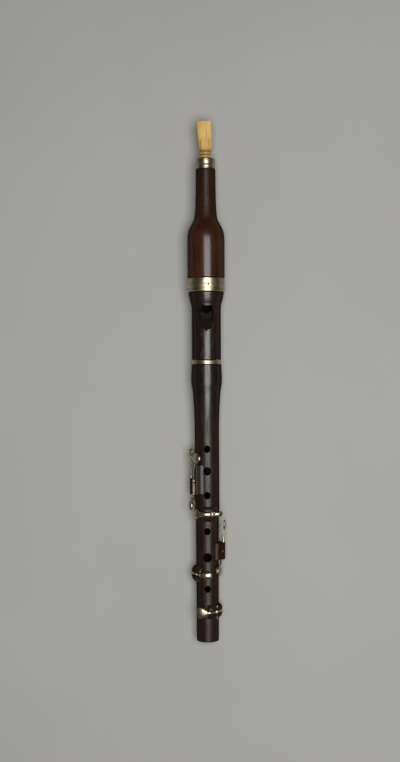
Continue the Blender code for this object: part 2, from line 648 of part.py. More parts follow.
# A lever along the tube with its pad, pin and spring. Returns the cuts in the wood.
def make_long_key(key):
    name, azimuth, pin_height = key["name"], key["azimuth"], key["pin_height"]
    pivot = key["hole"] + key["to_pivot"]
    touch = key["hole"] + key["to_touch"]
    way = math.copysign(1, key["to_touch"])
    along = Vector((0, 1, 0))
    axle = place(pivot, azimuth, pin_height)
    hinge = hinge_empty(name + "_hinge", axle)

    def bar_section(station, turn):
        return place(station), sideways(turn)

    def hinge_section(shift):
        return place(pivot + way * shift), azimuth, sideways(azimuth)

    cup_edge = key["hole"] + way * key["cup_radius"]
    touch_edge = touch - way * key["touch_length"] / 2
    reach = 1.6 * HINGE_RADIUS
    roof = cup_roof(key) + LEVER_THICKNESS / 2
    lift = pin_height + BAR_LIFT
    cup_bend = (pivot - way * key["cup_reach"], azimuth, roof)
    touch_bend = (pivot + way * key["touch_reach"], azimuth, lift)
    rings = cup_rings(key, along, sideways(key["cup_azimuth"]), way)
    rings += bar_rings((cup_edge, key["cup_azimuth"], roof), cup_bend, (0.2, 0.6, 1.0), bar_section)
    rings += bar_rings(cup_bend, (pivot - way * reach, azimuth, pin_height), (0.4, 1.0), bar_section)
    rings += hinge_rings(pin_height, hinge_section)
    rings += bar_rings((pivot + way * reach, azimuth, lift), touch_bend, (0.0, 1.0), bar_section)
    rings += bar_rings(touch_bend, (touch_edge, key["touch_azimuth"], key["touch_height"]),
                       (0.4, 0.8), bar_section)
    rings += touch_rings(key, place(touch, key["touch_azimuth"], key["touch_height"]), along,
                         sideways(key["touch_facing"]), way)
    lever = loft(name, rings, nickel_silver, hinge)

    side = sideways(azimuth) * key["pin_side"]
    inner_end = axle - side * key["pin_in"]
    rod(name.replace("key", "pin"), inner_end, axle + side * key["pin_out"], PIN_RADIUS, steel)
    bearing = rod("lever bearing", axle - side * LEVER_WIDTH, axle + side * LEVER_WIDTH, PIN_RADIUS + GAP,
                  None, 12, hinge)
    recess, cuts = add_pad(key, hinge)
    combine(lever, [recess, bearing], "DIFFERENCE")
    outer_end = axle + side * (key["pin_out"] + 4 * mm)
    cuts.append(rod("pin hole", inner_end - side * GAP, outer_end, PIN_RADIUS + GAP))

    spring_low = tube_radius(touch) + GAP
    spring_high = lift - LEVER_THICKNESS / 2 - GAP - SPRING_THICKNESS
    sections = []
    for share in (0.0, 0.25, 0.5, 0.75, 1.0):
        station = between(pivot + way * (key["touch_reach"] + mm), touch, share)
        turn = between(azimuth, key["touch_azimuth"], share)
        sections.append((place(station), turn, sideways(turn), between(spring_high, spring_low, share)))
    leaf(name.replace("key", "spring"), sections, hinge)
    return lever, cuts


# The slot that a long key's lever turns in
def slot_floor(key):
    return min(key["pin_height"] - HINGE_RADIUS, cup_roof(key)) - GAP


def slot_cut(key, low, high):
    half = LEVER_WIDTH / 2 + GAP
    heights = (slot_floor(key), 3 * FOOT_RADIUS)
    return radial_box("lever slot", (low, high), key["azimuth"], (-half, half), heights)


# Wooden blocks that hold the long keys, drawn round each key's own azimuth
def left_blocks():
    pivot = C_KEY["hole"] + C_KEY["to_pivot"]
    low = pivot - C_KEY["touch_reach"]
    top = C_KEY["pin_height"] + 0.7 * mm
    front = ((3.0, 4.0), (6.2, 5.0), (6.6, 7.25), (5.45, 9.05), (5.0, top / mm), (0.2, top / mm), (0.2, 5.0))
    back = ((0.4, 5.0), (0.4, top / mm), (-4.6, top / mm), (-5.0, 8.0), (-4.0, 5.0))
    b_flat_pivot = B_FLAT_KEY["hole"] + B_FLAT_KEY["to_pivot"]
    b_flat_top = B_FLAT_KEY["pin_height"] + 1.4 * mm
    under = ((3.0, 6.0), (2.8, b_flat_top / mm), (-4.2, b_flat_top / mm), (-5.4, 10.5), (-6.5, 5.0))
    reach = B_FLAT_KEY["touch_reach"]
    under_ends = (b_flat_pivot - reach, b_flat_pivot + reach)
    blocks = [prism("front cheek", in_mm(front), C_KEY["azimuth"], low, pivot + FRONT_CHEEK_REACH),
              prism("back cheek", in_mm(back), C_KEY["azimuth"], low, pivot + BACK_CHEEK_REACH),
              prism("under block", in_mm(under), B_FLAT_KEY["azimuth"], *under_ends)]
    bend = pivot + C_KEY["cup_reach"] - GAP
    slot_end = pivot + FRONT_CHEEK_REACH + mm
    cuts = [slot_cut(C_KEY, low - mm, slot_end),
            radial_box("cup clearance", (bend, slot_end), C_KEY["azimuth"], (0, C_KEY["cup_radius"]),
                       (slot_floor(C_KEY), 3 * FOOT_RADIUS)),
            slot_cut(B_FLAT_KEY, b_flat_pivot - reach - 2 * mm, b_flat_pivot + reach + mm)]
    return blocks, cuts


def right_block():
    pivot = LONG_F_KEY["hole"] + LONG_F_KEY["to_pivot"]
    reach = LONG_F_KEY["touch_reach"]
    top = (LONG_F_KEY["pin_height"] + 1.8 * mm) / mm
    outline = ((-5.6, 3.0), (-6.15, 6.7), (-6.15, 8.8), (-2.5, top), (3.6, top), (6.0, 9.0), (6.0, 4.0))
    block = prism("right block", in_mm(outline), LONG_F_KEY["azimuth"], pivot - reach, pivot + reach)
    return block, slot_cut(LONG_F_KEY, pivot - reach - mm, pivot + reach + mm)


def in_mm(outline):
    return [(side * mm, height * mm) for side, height in outline]


# A raised bead part of the way round the tube, for the pin of a cross key
def mount_bead(key):
    radius = tube_radius(key["hole"])
    fade = 14.0
    rings = []
    count = 14
    for i in range(count + 1):
        azimuth = between(key["mount_from"], key["mount_to"], i / count)
        edge = min(azimuth - key["mount_from"], key["mount_to"] - azimuth) / fade
        height = key["mount_height"] * max(0.12, min(1.0, edge)) ** 0.5
        ring = [place(key["hole"] - key["mount_length"] / 2, azimuth, radius - 1.2 * mm),
                place(key["hole"] + key["mount_length"] / 2, azimuth, radius - 1.2 * mm)]
        for turn in range(0, 181, 22):
            angle = math.radians(turn)
            station = key["hole"] + key["mount_length"] / 2 * math.cos(angle)
            ring.append(place(station, azimuth, radius - 0.2 * mm + (height + 0.2 * mm) * math.sin(angle)))
        ring.append(place(key["hole"] - key["mount_length"] / 2, azimuth, radius - 0.2 * mm))
        rings.append(ring)
    return loft("mount bead", rings)


# A lever round the tube with its pad, pin and spring. Returns the cuts in the wood.
def make_cross_key(key):
    name, azimuth, station, width = key["name"], key["azimuth"], key["hole"], key["arm_width"]
    floor = tube_radius(station) + SLOT_FLOOR
    pin_height = floor + GAP + HINGE_RADIUS
    way = math.copysign(1, azimuth - key["cup_azimuth"])
    along = Vector((0, 1, 0))
    axle = place(station, azimuth, pin_height)
    hinge = hinge_empty(name + "_hinge", axle)

    def bar_section(_, turn):
        return place(station), along

    def hinge_section(shift):
        return place(station), azimuth + way * math.degrees(shift / pin_height), along

    roof = cup_roof(key) + LEVER_THICKNESS / 2
    cup_half = math.degrees(math.atan(key["cup_radius"] / roof))
    touch_half = math.degrees(key["touch_length"] / 2 / key["touch_height"])
    hinge_half = math.degrees(1.6 * HINGE_RADIUS / pin_height)
    cup_end = key["cup_azimuth"] + way * cup_half
    touch_start = key["touch_azimuth"] - way * touch_half
    rings = cup_rings(key, sideways(key["cup_azimuth"]), along, way)
    rings += bar_rings((0, cup_end, roof), (0, azimuth - way * hinge_half, pin_height + 0.4 * mm),
                       (0.15, 0.4, 0.6, 0.8, 1.0), bar_section, width)
    rings += hinge_rings(pin_height, hinge_section, width)
    rings += bar_rings((0, azimuth + way * hinge_half, pin_height + 0.4 * mm),
                       (0, touch_start, key["touch_height"]), (0.0, 0.4, 0.8), bar_section, width)
    rings += touch_rings(key, place(station, key["touch_azimuth"], key["touch_height"]),
                         sideways(key["touch_facing"]), along, way)
    lever = loft(name, rings, nickel_silver, hinge)

    start, end = axle - along * key["pin_low"], axle + along * key["pin_high"]
    rod(name.replace("key", "pin"), start, end, PIN_RADIUS, steel)
    reach = along * width
    bearing = rod("lever bearing", axle - reach, axle + reach, PIN_RADIUS + GAP, None, 12, hinge)
    recess, cuts = add_pad(key, hinge)
    combine(lever, [recess, bearing], "DIFFERENCE")
    length = key["mount_length"]
    cuts.append(rod("pin hole", axle - along * length, axle + along * length, PIN_RADIUS + GAP))
    half = width / 2 + GAP
    cuts.append(turned("lever slot", ring_outline(station - half, station + half, floor, 3 * FOOT_RADIUS)))

    sections = []
    for share in (0.0, 0.25, 0.5, 0.75, 1.0):
        turn = between(azimuth + way * (hinge_half + 4), key["touch_azimuth"], share)
        height = between(pin_height - 0.5 * mm, floor + GAP, share)
        sections.append((place(station), turn, along, height))
    leaf(name.replace("key", "spring"), sections, hinge)
    return lever, cuts


# The tilt at which the wide ferrule and the lowest cup both touch the table
def rest_angle(levers):
    angles = []
    for lever in levers:
        for vertex in lever.data.vertices:
            run = cap_base - middle - vertex.co.y
            angles.append(math.atan2(vertex.co.z + WIDE_FERRULE_RADIUS, run))
    angles.append(math.atan2(WIDE_FERRULE_RADIUS - FOOT_RADIUS, cap_base))
    return min(angles)


body = make_body()
make_rim_ferrule()
make_head()
make_windcap()
make_beak()

blocks, slots = left_blocks()
block, slot = right_block()
mounts = [mount_bead(key) for key in (G_SHARP_KEY, SHORT_F_KEY, D_SHARP_KEY)]
levers = []
wood_cuts = slots + [slot] + finger_hole_cuts()
for key in (C_KEY, B_FLAT_KEY, LONG_F_KEY):
    lever, cuts = make_long_key(key)
    levers.append(lever)
    wood_cuts += cuts
for key in (G_SHARP_KEY, SHORT_F_KEY, D_SHARP_KEY):
    lever, cuts = make_cross_key(key)
    levers.append(lever)
    wood_cuts += cuts
combine(body, blocks + [block] + mounts, "UNION")
combine(body, wood_cuts, "DIFFERENCE")

tilt = rest_angle(levers)
tube.rotation_euler = (tilt, 0, 0)
tube.location = (0, 0, WIDE_FERRULE_RADIUS * math.cos(tilt) - (cap_base - middle) * math.sin(tilt))
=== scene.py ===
import json
import math

import bmesh
import bpy
from mathutils import Matrix, Vector, noise


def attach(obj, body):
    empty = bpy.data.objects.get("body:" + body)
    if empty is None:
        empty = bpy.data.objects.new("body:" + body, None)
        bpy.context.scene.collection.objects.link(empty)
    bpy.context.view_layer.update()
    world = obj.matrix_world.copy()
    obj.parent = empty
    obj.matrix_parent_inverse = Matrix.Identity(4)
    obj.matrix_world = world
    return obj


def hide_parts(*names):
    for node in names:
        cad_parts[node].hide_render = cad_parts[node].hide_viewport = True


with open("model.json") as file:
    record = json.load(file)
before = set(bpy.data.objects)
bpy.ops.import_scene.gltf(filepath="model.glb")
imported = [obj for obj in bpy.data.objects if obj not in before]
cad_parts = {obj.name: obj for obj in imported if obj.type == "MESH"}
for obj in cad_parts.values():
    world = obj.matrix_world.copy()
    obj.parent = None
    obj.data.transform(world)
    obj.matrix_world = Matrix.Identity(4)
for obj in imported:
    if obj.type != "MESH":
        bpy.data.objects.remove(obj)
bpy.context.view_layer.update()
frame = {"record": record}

# Flageolet with a windcap, dressed for a render from straight above.
# Lengths are in millimetres until spot() turns them into metres. A station is the
# distance from the foot end along the tube, and an azimuth is the angle in degrees
# round the tube from the finger holes, positive to the right.
scene = bpy.context.scene
slideAxis = next(j["axis"] for j in frame["record"]["behaviour"]["joints"] if j["name"] == "head_slide")

layout = {"middle": 207.5, "rim": 224.8, "headBase": 225.1, "headTop": 279.0, "capBase": 279.3,
          "neckTop": 376.7, "stemBase": 385.4, "billBase": 392.0, "tip": 415.0,
          "axisHeight": 13.452, "gap": 0.3, "footBore": 4.7, "headBore": 5.8}
gap = layout["gap"]
tilt = math.atan2(slideAxis[2], slideAxis[1])
tubeMatrix = Matrix.Translation((0, 0, layout["axisHeight"] / 1000)) @ Matrix.Rotation(tilt, 4, "X")


# Places and curves

def outward(azimuth):
    turn = math.radians(azimuth)
    return Vector((math.sin(turn), 0, math.cos(turn)))


def sideways(azimuth):
    turn = math.radians(azimuth)
    return Vector((math.cos(turn), 0, -math.sin(turn)))


def spot(station, azimuth=0, height=0, side=0):
    place = Vector((0, station - layout["middle"], 0)) + outward(azimuth) * height
    return (place + sideways(azimuth) * side) / 1000


def between(first, second, share):
    return first + (second - first) * share


def steepness(xs, ys):
    # Slopes for a curve that passes through the points without overshooting
    rises = [(d - c) / (b - a) for a, b, c, d in zip(xs, xs[1:], ys, ys[1:])]
    inner = [0 if p * q <= 0 else 2 * p * q / (p + q) for p, q in zip(rises, rises[1:])]
    return [rises[0]] + inner + [rises[-1]]


def flow(xs, rows, step):
    # Rows of numbers at the places xs, filled in smoothly about every step
    columns = [(column, steepness(xs, column)) for column in zip(*rows)]
    filled = []
    for i in range(len(xs) - 1):
        span = xs[i + 1] - xs[i]
        count = max(1, math.ceil(span / step))
        for k in range(count):
            t = k / count
            filled.append([ys[i] * (1 + 2 * t) * (1 - t) ** 2 + ys[i + 1] * t * t * (3 - 2 * t)
                           + span * (slopes[i] * t * (1 - t) ** 2 - slopes[i + 1] * t * t * (1 - t))
                           for ys, slopes in columns])
    filled.append([ys[-1] for ys, slopes in columns])
    return filled


def flowing(points, step=2.0):
    # The same for a profile of (station, radius) points
    return [tuple(row) for row in flow([p[0] for p in points], points, step)]


def soften(outline, size=0.25, steps=3):
    # Rounds the sharp corners of a closed outline
    rounded = []
    for i, corner in enumerate(outline):
        here = Vector(corner)
        before, after = Vector(outline[i - 1]) - here, Vector(outline[(i + 1) % len(outline)]) - here
        if before.length < 1e-6 or after.length < 1e-6 or math.pi - before.angle(after) < 0.35:
            rounded.append(corner)
            continue
        start = here + before.normalized() * min(size, before.length * 0.45)
        end = here + after.normalized() * min(size, after.length * 0.45)
        for k in range(steps + 1):
            t = k / steps
            point = start * (1 - t) ** 2 + here * 2 * t * (1 - t) + end * t * t
            rounded.append((point.x, point.y))
    return rounded


# Meshes, made in the tube's own space and laid down with it

def makeObject(name, bm, sharpAngle=38):
    bmesh.ops.remove_doubles(bm, verts=bm.verts, dist=1e-7)
    bmesh.ops.recalc_face_normals(bm, faces=bm.faces)
    bm.transform(tubeMatrix)
    mesh = bpy.data.meshes.new(name)
    bm.to_mesh(mesh)
    bm.free()
    mesh.shade_smooth()
    mesh.set_sharp_from_angle(angle=math.radians(sharpAngle))
    made = bpy.data.objects.new(name, mesh)
    scene.collection.objects.link(made)
    return made


def skin(name, rings, closed=False, sharpAngle=38):
    # Rings of points joined in order, with caps or joined back to the first
    bm = bmesh.new()
    rows = [[bm.verts.new(point) for point in ring] for ring in rings]
    pairs = list(zip(rows, rows[1:])) + ([(rows[-1], rows[0])] if closed else [])
    for row, following in pairs:
        for i in range(len(row)):
            j = (i + 1) % len(row)
            bm.faces.new((row[i], row[j], following[j], following[i]))
    if not closed:
        for row in (rows[0], rows[-1]):
            centre = bm.verts.new(sum((v.co for v in row), Vector()) / len(row))
            for i in range(len(row)):
                bm.faces.new((row[i], row[(i + 1) % len(row)], centre))
    return makeObject(name, bm, sharpAngle)


def lathe(name, outline, steps=96):
    rings = [[spot(station, 360 * i / steps, radius) for i in range(steps)] for station, radius in outline]
    return skin(name, rings, closed=True)


def bar(name, start, end, profile, steps=24):
    # A round bar along start to end. The profile is (share of its length, radius in mm).
    run = end - start
    turn = run.to_track_quat("Z", "Y")
    rings = []
    for share, radius in profile:
        circle = [Vector((math.cos(math.tau * i / steps), math.sin(math.tau * i / steps), 0))
                  for i in range(steps)]
        rings.append([start + run * share + turn @ (point * radius / 1000) for point in circle])
    return skin(name, rings)


def pin(name, start, end, radius, edge=0.15):
    length = (end - start).length * 1000
    near, far = edge / length, 1 - edge / length
    return bar(name, start, end, ((0, radius - edge), (near * 0.3, radius - edge * 0.3), (near, radius),
                                  (far, radius), (1 - near * 0.3, radius - edge * 0.3), (1, radius - edge)))


def block(name, outline, azimuth, low, high, edge=0.5):
    # A bevelled length of an outline of (side, height) points
    smooth = soften(outline, 0.7, 4)
    centre = Vector((sum(p[0] for p in smooth) / len(smooth), sum(p[1] for p in smooth) / len(smooth)))
    rings = []
    for station, inset in ((low, edge), (low + edge * 0.3, edge * 0.3), (low + edge, 0),
                           (high - edge, 0), (high - edge * 0.3, edge * 0.3), (high, edge)):
        ring = []
        for corner in smooth:
            away = Vector(corner) - centre
            side, height = centre + away * (1 - inset / max(away.length, 1))
            ring.append(spot(station, azimuth, height, side))
        rings.append(ring)
    return skin(name, rings)


def slab(stations, azimuth, sides, heights):
    bm = bmesh.new()
    corners = [bm.verts.new(spot(station, azimuth, height, side))
               for station in stations for side in sides for height in heights]
    bmesh.ops.convex_hull(bm, input=corners)
    return makeObject("cutter", bm)


def carve(piece, tools, operation="DIFFERENCE", sharpAngle=38):
    # One Boolean with all the tools, applied, after which the tools are gone
    group = bpy.data.collections.new("tools")
    scene.collection.children.link(group)
    for tool in tools:
        scene.collection.objects.unlink(tool)
        group.objects.link(tool)
    step = piece.modifiers.new("carve", "BOOLEAN")
    step.operation, step.operand_type, step.collection, step.solver = operation, "COLLECTION", group, "EXACT"
    carved = bpy.data.meshes.new_from_object(piece.evaluated_get(bpy.context.evaluated_depsgraph_get()))
    piece.modifiers.clear()
    piece.data = carved
    carved.shade_smooth()
    carved.set_sharp_from_angle(angle=math.radians(sharpAngle))
    for tool in tools:
        bpy.data.objects.remove(tool)
    bpy.data.collections.remove(group)


def even(piece):
    # Lets the large faces set the shading round a cut
    step = piece.modifiers.new("even", "WEIGHTED_NORMAL")
    step.keep_sharp = True
    step.weight = 80


# Finishes

class Wire:
    # A socket that takes part in sums as a number does
    def __init__(self, finish, socket):
        self.finish = finish
        self.socket = socket

    def maths(self, operation, first, second):
        return self.finish.node("Math", {"operation": operation}, {0: first, 1: second})

    def __add__(self, other):
        return self.maths("ADD", self, other)

    def __radd__(self, other):
        return self.maths("ADD", other, self)

    def __sub__(self, other):
        return self.maths("SUBTRACT", self, other)

    def __rsub__(self, other):
        return self.maths("SUBTRACT", other, self)

    def __mul__(self, other):
        return self.maths("MULTIPLY", self, other)

    def __rmul__(self, other):
        return self.maths("MULTIPLY", other, self)


class Finish:
    def __init__(self, name, settings):
        self.material = bpy.data.materials.new(name)
        self.material.use_nodes = True
        self.tree = self.material.node_tree
        self.shader = self.tree.nodes["Principled BSDF"]
        for socket, value in settings.items():
            self.shader.inputs[socket].default_value = value
        self.place = self.node("Mapping", {}, {
            "Vector": self.node("TexCoord", output="Object"), "Rotation": (-tilt, 0, 0),
            "Location": tubeMatrix.inverted().translation})

    def node(self, kind, settings=None, sockets=None, output=0):
        made = self.tree.nodes.new("ShaderNode" + kind)
        for name, value in (settings or {}).items():
            if name == "stops":
                for position, shade in value[1:-1]:
                    made.color_ramp.elements.new(position).color = (shade, shade, shade, 1)
                for element, (position, shade) in zip(
                        (made.color_ramp.elements[0], made.color_ramp.elements[-1]), (value[0], value[-1])):
                    element.position, element.color = position, (shade, shade, shade, 1)
            else:
                setattr(made, name, value)
        for name, value in (sockets or {}).items():
            self.feed(made.inputs[name], value)
        return Wire(self, made.outputs[output])

    def feed(self, socket, value):
        if isinstance(value, Wire):
            self.tree.links.new(value.socket, socket)
        elif socket.type == "RGBA":
            socket.default_value = (*value, 1)
        else:
            socket.default_value = value

    def set(self, socket, value):
        self.feed(self.shader.inputs[socket], value)

    def noise(self, scale, stretch=(1, 1, 1), detail=3, shift=0, twist=0):
        moved = self.node("VectorMath", {"operation": "ADD"}, {0: self.place, 1: (shift, shift, shift)})
        drawn = self.node("VectorMath", {"operation": "MULTIPLY"}, {0: moved, 1: stretch})
        return self.node("TexNoise", {}, {"Vector": drawn, "Scale": scale, "Detail": detail,
                                          "Distortion": twist})

    def fromAxis(self):
        across = self.node("VectorMath", {"operation": "MULTIPLY"}, {0: self.place, 1: (1, 0, 1)})
        return self.node("VectorMath", {"operation": "LENGTH"}, {0: across}, output=1)

    def along(self):
        return self.node("SeparateXYZ", {}, {0: self.place}, output=1)

    def upwards(self):
        return self.node("SeparateXYZ", {}, {0: self.place}, output=2)

    def ramp(self, value, low, high):
        return self.node("MapRange", {"interpolation_type": "SMOOTHSTEP"},
                         {"Value": value, "From Min": low, "From Max": high})

    def mix(self, mask, first, second):
        return self.node("Mix", {"data_type": "RGBA"}, {0: mask, 6: first, 7: second}, output=2)

    def dull(self, mask):
        # Mixes in a copy of the surface without its shine
        matt = self.tree.nodes.new("ShaderNodeBsdfPrincipled")
        matt.inputs["Specular IOR Level"].default_value = 0.0
        matt.inputs["Roughness"].default_value = 0.6
        for socket in ("Base Color", "Normal"):
            self.tree.links.new(self.shader.inputs[socket].links[0].from_socket, matt.inputs[socket])
        both = self.node("MixShader", {}, {
            0: mask, 1: Wire(self, self.shader.outputs[0]), 2: Wire(self, matt.outputs[0])})
        self.tree.links.new(both.socket, self.tree.nodes["Material Output"].inputs["Surface"])

    def bump(self, height, distance, strength=1.0):
        self.set("Normal", self.node("Bump", {}, {"Height": height, "Distance": distance / 1000,
                                                  "Strength": strength}))


def woodFinish(name, look):
    finish = Finish(name, {"Coat Roughness": 0.16, "Specular IOR Level": look["gloss"]})
    grain = finish.noise(look["grainScale"], (1, 0.035, 1), 6, 0.31, 0.4)
    fibre = finish.noise(3200, (1, 0.02, 1), 3, 0.77)
    cloud = finish.noise(55, (1, 0.35, 1), 3, 0.12)
    pores = finish.ramp(finish.noise(2100, (1, 0.055, 1), 1, 0.53), 0.62, 0.72)
    scuffs = finish.ramp(finish.noise(900, (1, 0.25, 0.6), 4, 0.9, 0.8), 0.66, 0.78)
    colour = finish.mix(finish.ramp(grain, 0.32, 0.68), look["dark"], look["light"])
    colour = finish.mix(finish.ramp(cloud, 0.42, 0.66) * look["warmth"], colour, look["warm"])
    colour = finish.mix(pores * 0.55, colour, look["pore"])
    colour = finish.mix(scuffs * 0.22, colour, look["worn"])

    # Bores and holes are rough and get a darker colour as painted shade, and hands have kept a length of the
    # outside polished
    outside = finish.ramp(finish.fromAxis(), *look["inside"])
    polished = finish.ramp(finish.along(), *look["polished"])
    colour = finish.mix(look["deepen"][0] + look["deepen"][1] * polished, colour, look["deep"])
    finish.set("Base Color", finish.mix(outside, look["paintedBoreShade"], colour))
    finish.set("Coat Weight", outside * polished * look["polish"])
    finish.set("Roughness", look["roughness"] - 0.06 * polished + 0.10 * cloud + 0.10 * fibre + 0.18 * pores
               + 0.12 * scuffs + 0.5 * (1.0 - outside))
    finish.bump(0.55 * fibre + 0.5 * grain - 0.8 * pores - 0.2 * scuffs, look["relief"])

    # Hands polish the face, so the sides and the back stay dull
    front = finish.node("Math", {"operation": "DIVIDE"}, {0: finish.upwards(), 1: finish.fromAxis()})
    finish.dull((1.0 - finish.ramp(front, *look["face"])) * look["dullness"])
    return finish.material


def metalFinish(name, look):
    # look["lines"] stretches the fine tool marks: rings on turned ferrules, brushing on keys
    finish = Finish(name, {"Metallic": 1.0})
    cloud = finish.noise(look["cloudScale"], (1, 0.8, 1), 4, 0.2, 0.6)
    speck = finish.ramp(finish.noise(1300, (1, 1, 1), 3, 0.6), 0.64, 0.76)
    lines = finish.noise(look["lineScale"], look["lines"], 3, 0.4)
    scratch = finish.ramp(finish.noise(1500, (1, 0.06, 0.4), 2, 0.8, 1.2), 0.66, 0.72)
    stain = finish.ramp(cloud, 0.46, 0.74)
    marks = finish.ramp(lines, 0.42, 0.62)
    colour = finish.mix(stain * look["tarnish"] + marks * look["marks"], look["bright"], look["dull"])
    colour = finish.mix(speck * 0.5, colour, look["spot"])
    finish.set("Base Color", colour)
    finish.set("Roughness", look["roughness"] - 0.05 + 0.16 * stain + 0.10 * speck + 0.10 * lines
               + 0.08 * scratch)
    finish.bump(0.6 * lines - 0.5 * scratch - 0.3 * speck, look["relief"])
    return finish.material


def boneFinish():
    look = {"pale": (0.72, 0.475, 0.14), "deep": (0.47, 0.265, 0.065), "streak": (0.27, 0.13, 0.032),
            "stain": (0.14, 0.065, 0.02)}
    finish = Finish("agedBone", {"Coat Weight": 0.25, "Coat Roughness": 0.25, "Specular IOR Level": 0.45})
    cloud = finish.noise(130, (1, 0.5, 1), 4, 0.15)
    fibre = finish.noise(1500, (1, 0.05, 1), 4, 0.45, 0.3)
    streak = finish.ramp(finish.noise(900, (1, 0.035, 1), 2, 0.65), 0.60, 0.72)
    stain = finish.ramp(finish.noise(420, (1, 1, 1), 4, 0.35), 0.62, 0.80)
    colour = finish.mix(finish.ramp(cloud, 0.35, 0.70), look["pale"], look["deep"])
    colour = finish.mix(finish.ramp(fibre, 0.4, 0.75) * 0.45, colour, look["deep"])
    low = finish.ramp(finish.along(), 0.202, 0.190)
    colour = finish.mix(streak * (0.5 + 0.35 * low), colour, look["streak"])
    colour = finish.mix(stain * (0.3 + 0.4 * low), colour, look["stain"])
    # Painted shade: the recess between the stem and the bill is darkened towards the stain colour
    groove = finish.ramp(finish.fromAxis(), 0.00465, 0.00415) * finish.ramp(finish.along(), 0.1846, 0.1836)
    finish.set("Base Color", finish.mix(groove * 0.75, colour, look["stain"]))
    finish.set("Roughness", 0.30 + 0.16 * cloud + 0.12 * fibre + 0.10 * streak)
    finish.bump(fibre * 0.6 - streak * 0.5 - stain * 0.3, 0.03)
    return finish.material


def softFinish(name, look):
    # Cork, leather and sponge: two tones in cells, with pits
    finish = Finish(name, {"Specular IOR Level": 0.25})
    cells = finish.node("TexVoronoi", {}, {"Vector": finish.place, "Scale": look["cellScale"]})
    shade = finish.noise(look["cellScale"] * 0.4, (1, 1, 1), 4, 0.3)
    grit = finish.noise(look["pitScale"], (1, 1, 1), 3, 0.7)
    pits = finish.ramp(grit, look["pitFrom"], look["pitFrom"] + 0.1)
    colour = finish.mix(finish.ramp(shade + 0.5 * cells, 0.45, 1.0), look["light"], look["dark"])
    colour = finish.mix(pits * 0.8, colour, look["pit"])
    finish.set("Base Color", colour)
    finish.set("Roughness", look["roughness"] + 0.1 * shade + 0.1 * pits - 0.05)
    finish.bump(0.5 * shade - pits, look["relief"])
    return finish.material


print("finishes")
darkWood = woodFinish("darkWood", {
    "dark": (0.009, 0.0042, 0.0024), "light": (0.021, 0.0095, 0.005), "warm": (0.032, 0.011, 0.005),
    "pore": (0.003, 0.0015, 0.001), "worn": (0.055, 0.036, 0.026), "paintedBoreShade": (0.006, 0.0035, 0.002),
    "warmth": 0.5, "deep": (0.004, 0.0018, 0.001), "deepen": (0.0, 0.45), "inside": (0.0062, 0.0083),
    "polished": (-0.035, -0.008), "face": (0.45, 0.85), "dullness": 0.85, "grainScale": 800,
    "roughness": 0.26, "gloss": 0.33, "polish": 0.34, "relief": 0.05})
capWood = woodFinish("capWood", {
    "dark": (0.018, 0.006, 0.002), "light": (0.048, 0.0155, 0.006), "warm": (0.088, 0.018, 0.007),
    "pore": (0.005, 0.002, 0.001), "worn": (0.09, 0.05, 0.03), "paintedBoreShade": (0.01, 0.005, 0.002), "warmth": 0.6,
    "deep": (0.016, 0.005, 0.002), "deepen": (0.6, -0.55),
    "inside": (0.0050, 0.0064), "polished": (0.127, 0.108), "face": (0.45, 0.85), "dullness": 0.8,
    "grainScale": 700, "roughness": 0.26, "gloss": 0.23, "polish": 0.42, "relief": 0.05})
ferruleMetal = metalFinish("ferruleMetal", {
    "bright": (0.46, 0.40, 0.28), "dull": (0.24, 0.19, 0.105), "spot": (0.12, 0.09, 0.05), "tarnish": 0.35,
    "marks": 0.6, "cloudScale": 120, "lineScale": 220, "lines": (0.02, 5.0, 0.02), "roughness": 0.30,
    "relief": 0.008})
keyMetal = metalFinish("keyMetal", {
    "bright": (0.50, 0.43, 0.31), "dull": (0.25, 0.20, 0.125), "spot": (0.08, 0.06, 0.035), "tarnish": 0.75,
    "marks": 0.25, "cloudScale": 260, "lineScale": 900, "lines": (2.5, 0.25, 1.2), "roughness": 0.28,
    "relief": 0.012})
pinSteel = metalFinish("pinSteel", {
    "bright": (0.12, 0.105, 0.09), "dull": (0.06, 0.045, 0.03), "spot": (0.04, 0.025, 0.015), "tarnish": 0.7,
    "marks": 0.2, "cloudScale": 400, "lineScale": 1200, "lines": (1, 1, 1), "roughness": 0.45,
    "relief": 0.02})
bone = boneFinish()
cork = softFinish("cork", {
    "light": (0.42, 0.24, 0.12), "dark": (0.22, 0.11, 0.05), "pit": (0.08, 0.035, 0.015), "cellScale": 900,
    "pitScale": 650, "pitFrom": 0.60, "roughness": 0.75, "relief": 0.12})
leather = softFinish("leather", {
    "light": (0.56, 0.44, 0.29), "dark": (0.36, 0.25, 0.14), "pit": (0.25, 0.16, 0.09), "cellScale": 1600,
    "pitScale": 1400, "pitFrom": 0.66, "roughness": 0.70, "relief": 0.04})
sponge = softFinish("sponge", {
    "light": (0.66, 0.50, 0.24), "dark": (0.42, 0.28, 0.11), "pit": (0.12, 0.07, 0.03), "cellScale": 700,
    "pitScale": 420, "pitFrom": 0.50, "roughness": 0.85, "relief": 0.5})


def dress(piece, finish, body, slot, *nodes):
    piece.data.materials.clear()
    piece.data.materials.append(finish)
    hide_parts(*nodes)
    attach(piece, body)


print("lower tube")
tube = {"holes": ((42.7, 2.5), (67.8, 3.4), (88.7, 2.5), (117.4, 2.6), (136.8, 3.0), (154.3, 2.6)),
        "thumbHole": (166.3, 2.3), "footRadius": 8.84, "lowerRadius": 9.22, "upperRadius": 9.76,
        "bulgeRadius": 12.33, "ferruleSeat": 10.6, "socket": 8.3, "socketDepth": 21.3, "ferruleLength": 2.9,
        "swell": ((55.0, 0.0), (41.0, 0.14), (32.0, 0.34), (27.0, 0.48), (22.0, 0.74), (17.5, 0.98),
                  (12.5, 1.0), (8.0, 0.89), (3.5, 0.84))}
tubeProfile = [(0.7, tube["footRadius"]), (96.1, tube["lowerRadius"]), (107.1, tube["upperRadius"])]
tubeProfile += [(layout["rim"] - depth, between(tube["upperRadius"], tube["bulgeRadius"], share))
                for depth, share in tube["swell"]]


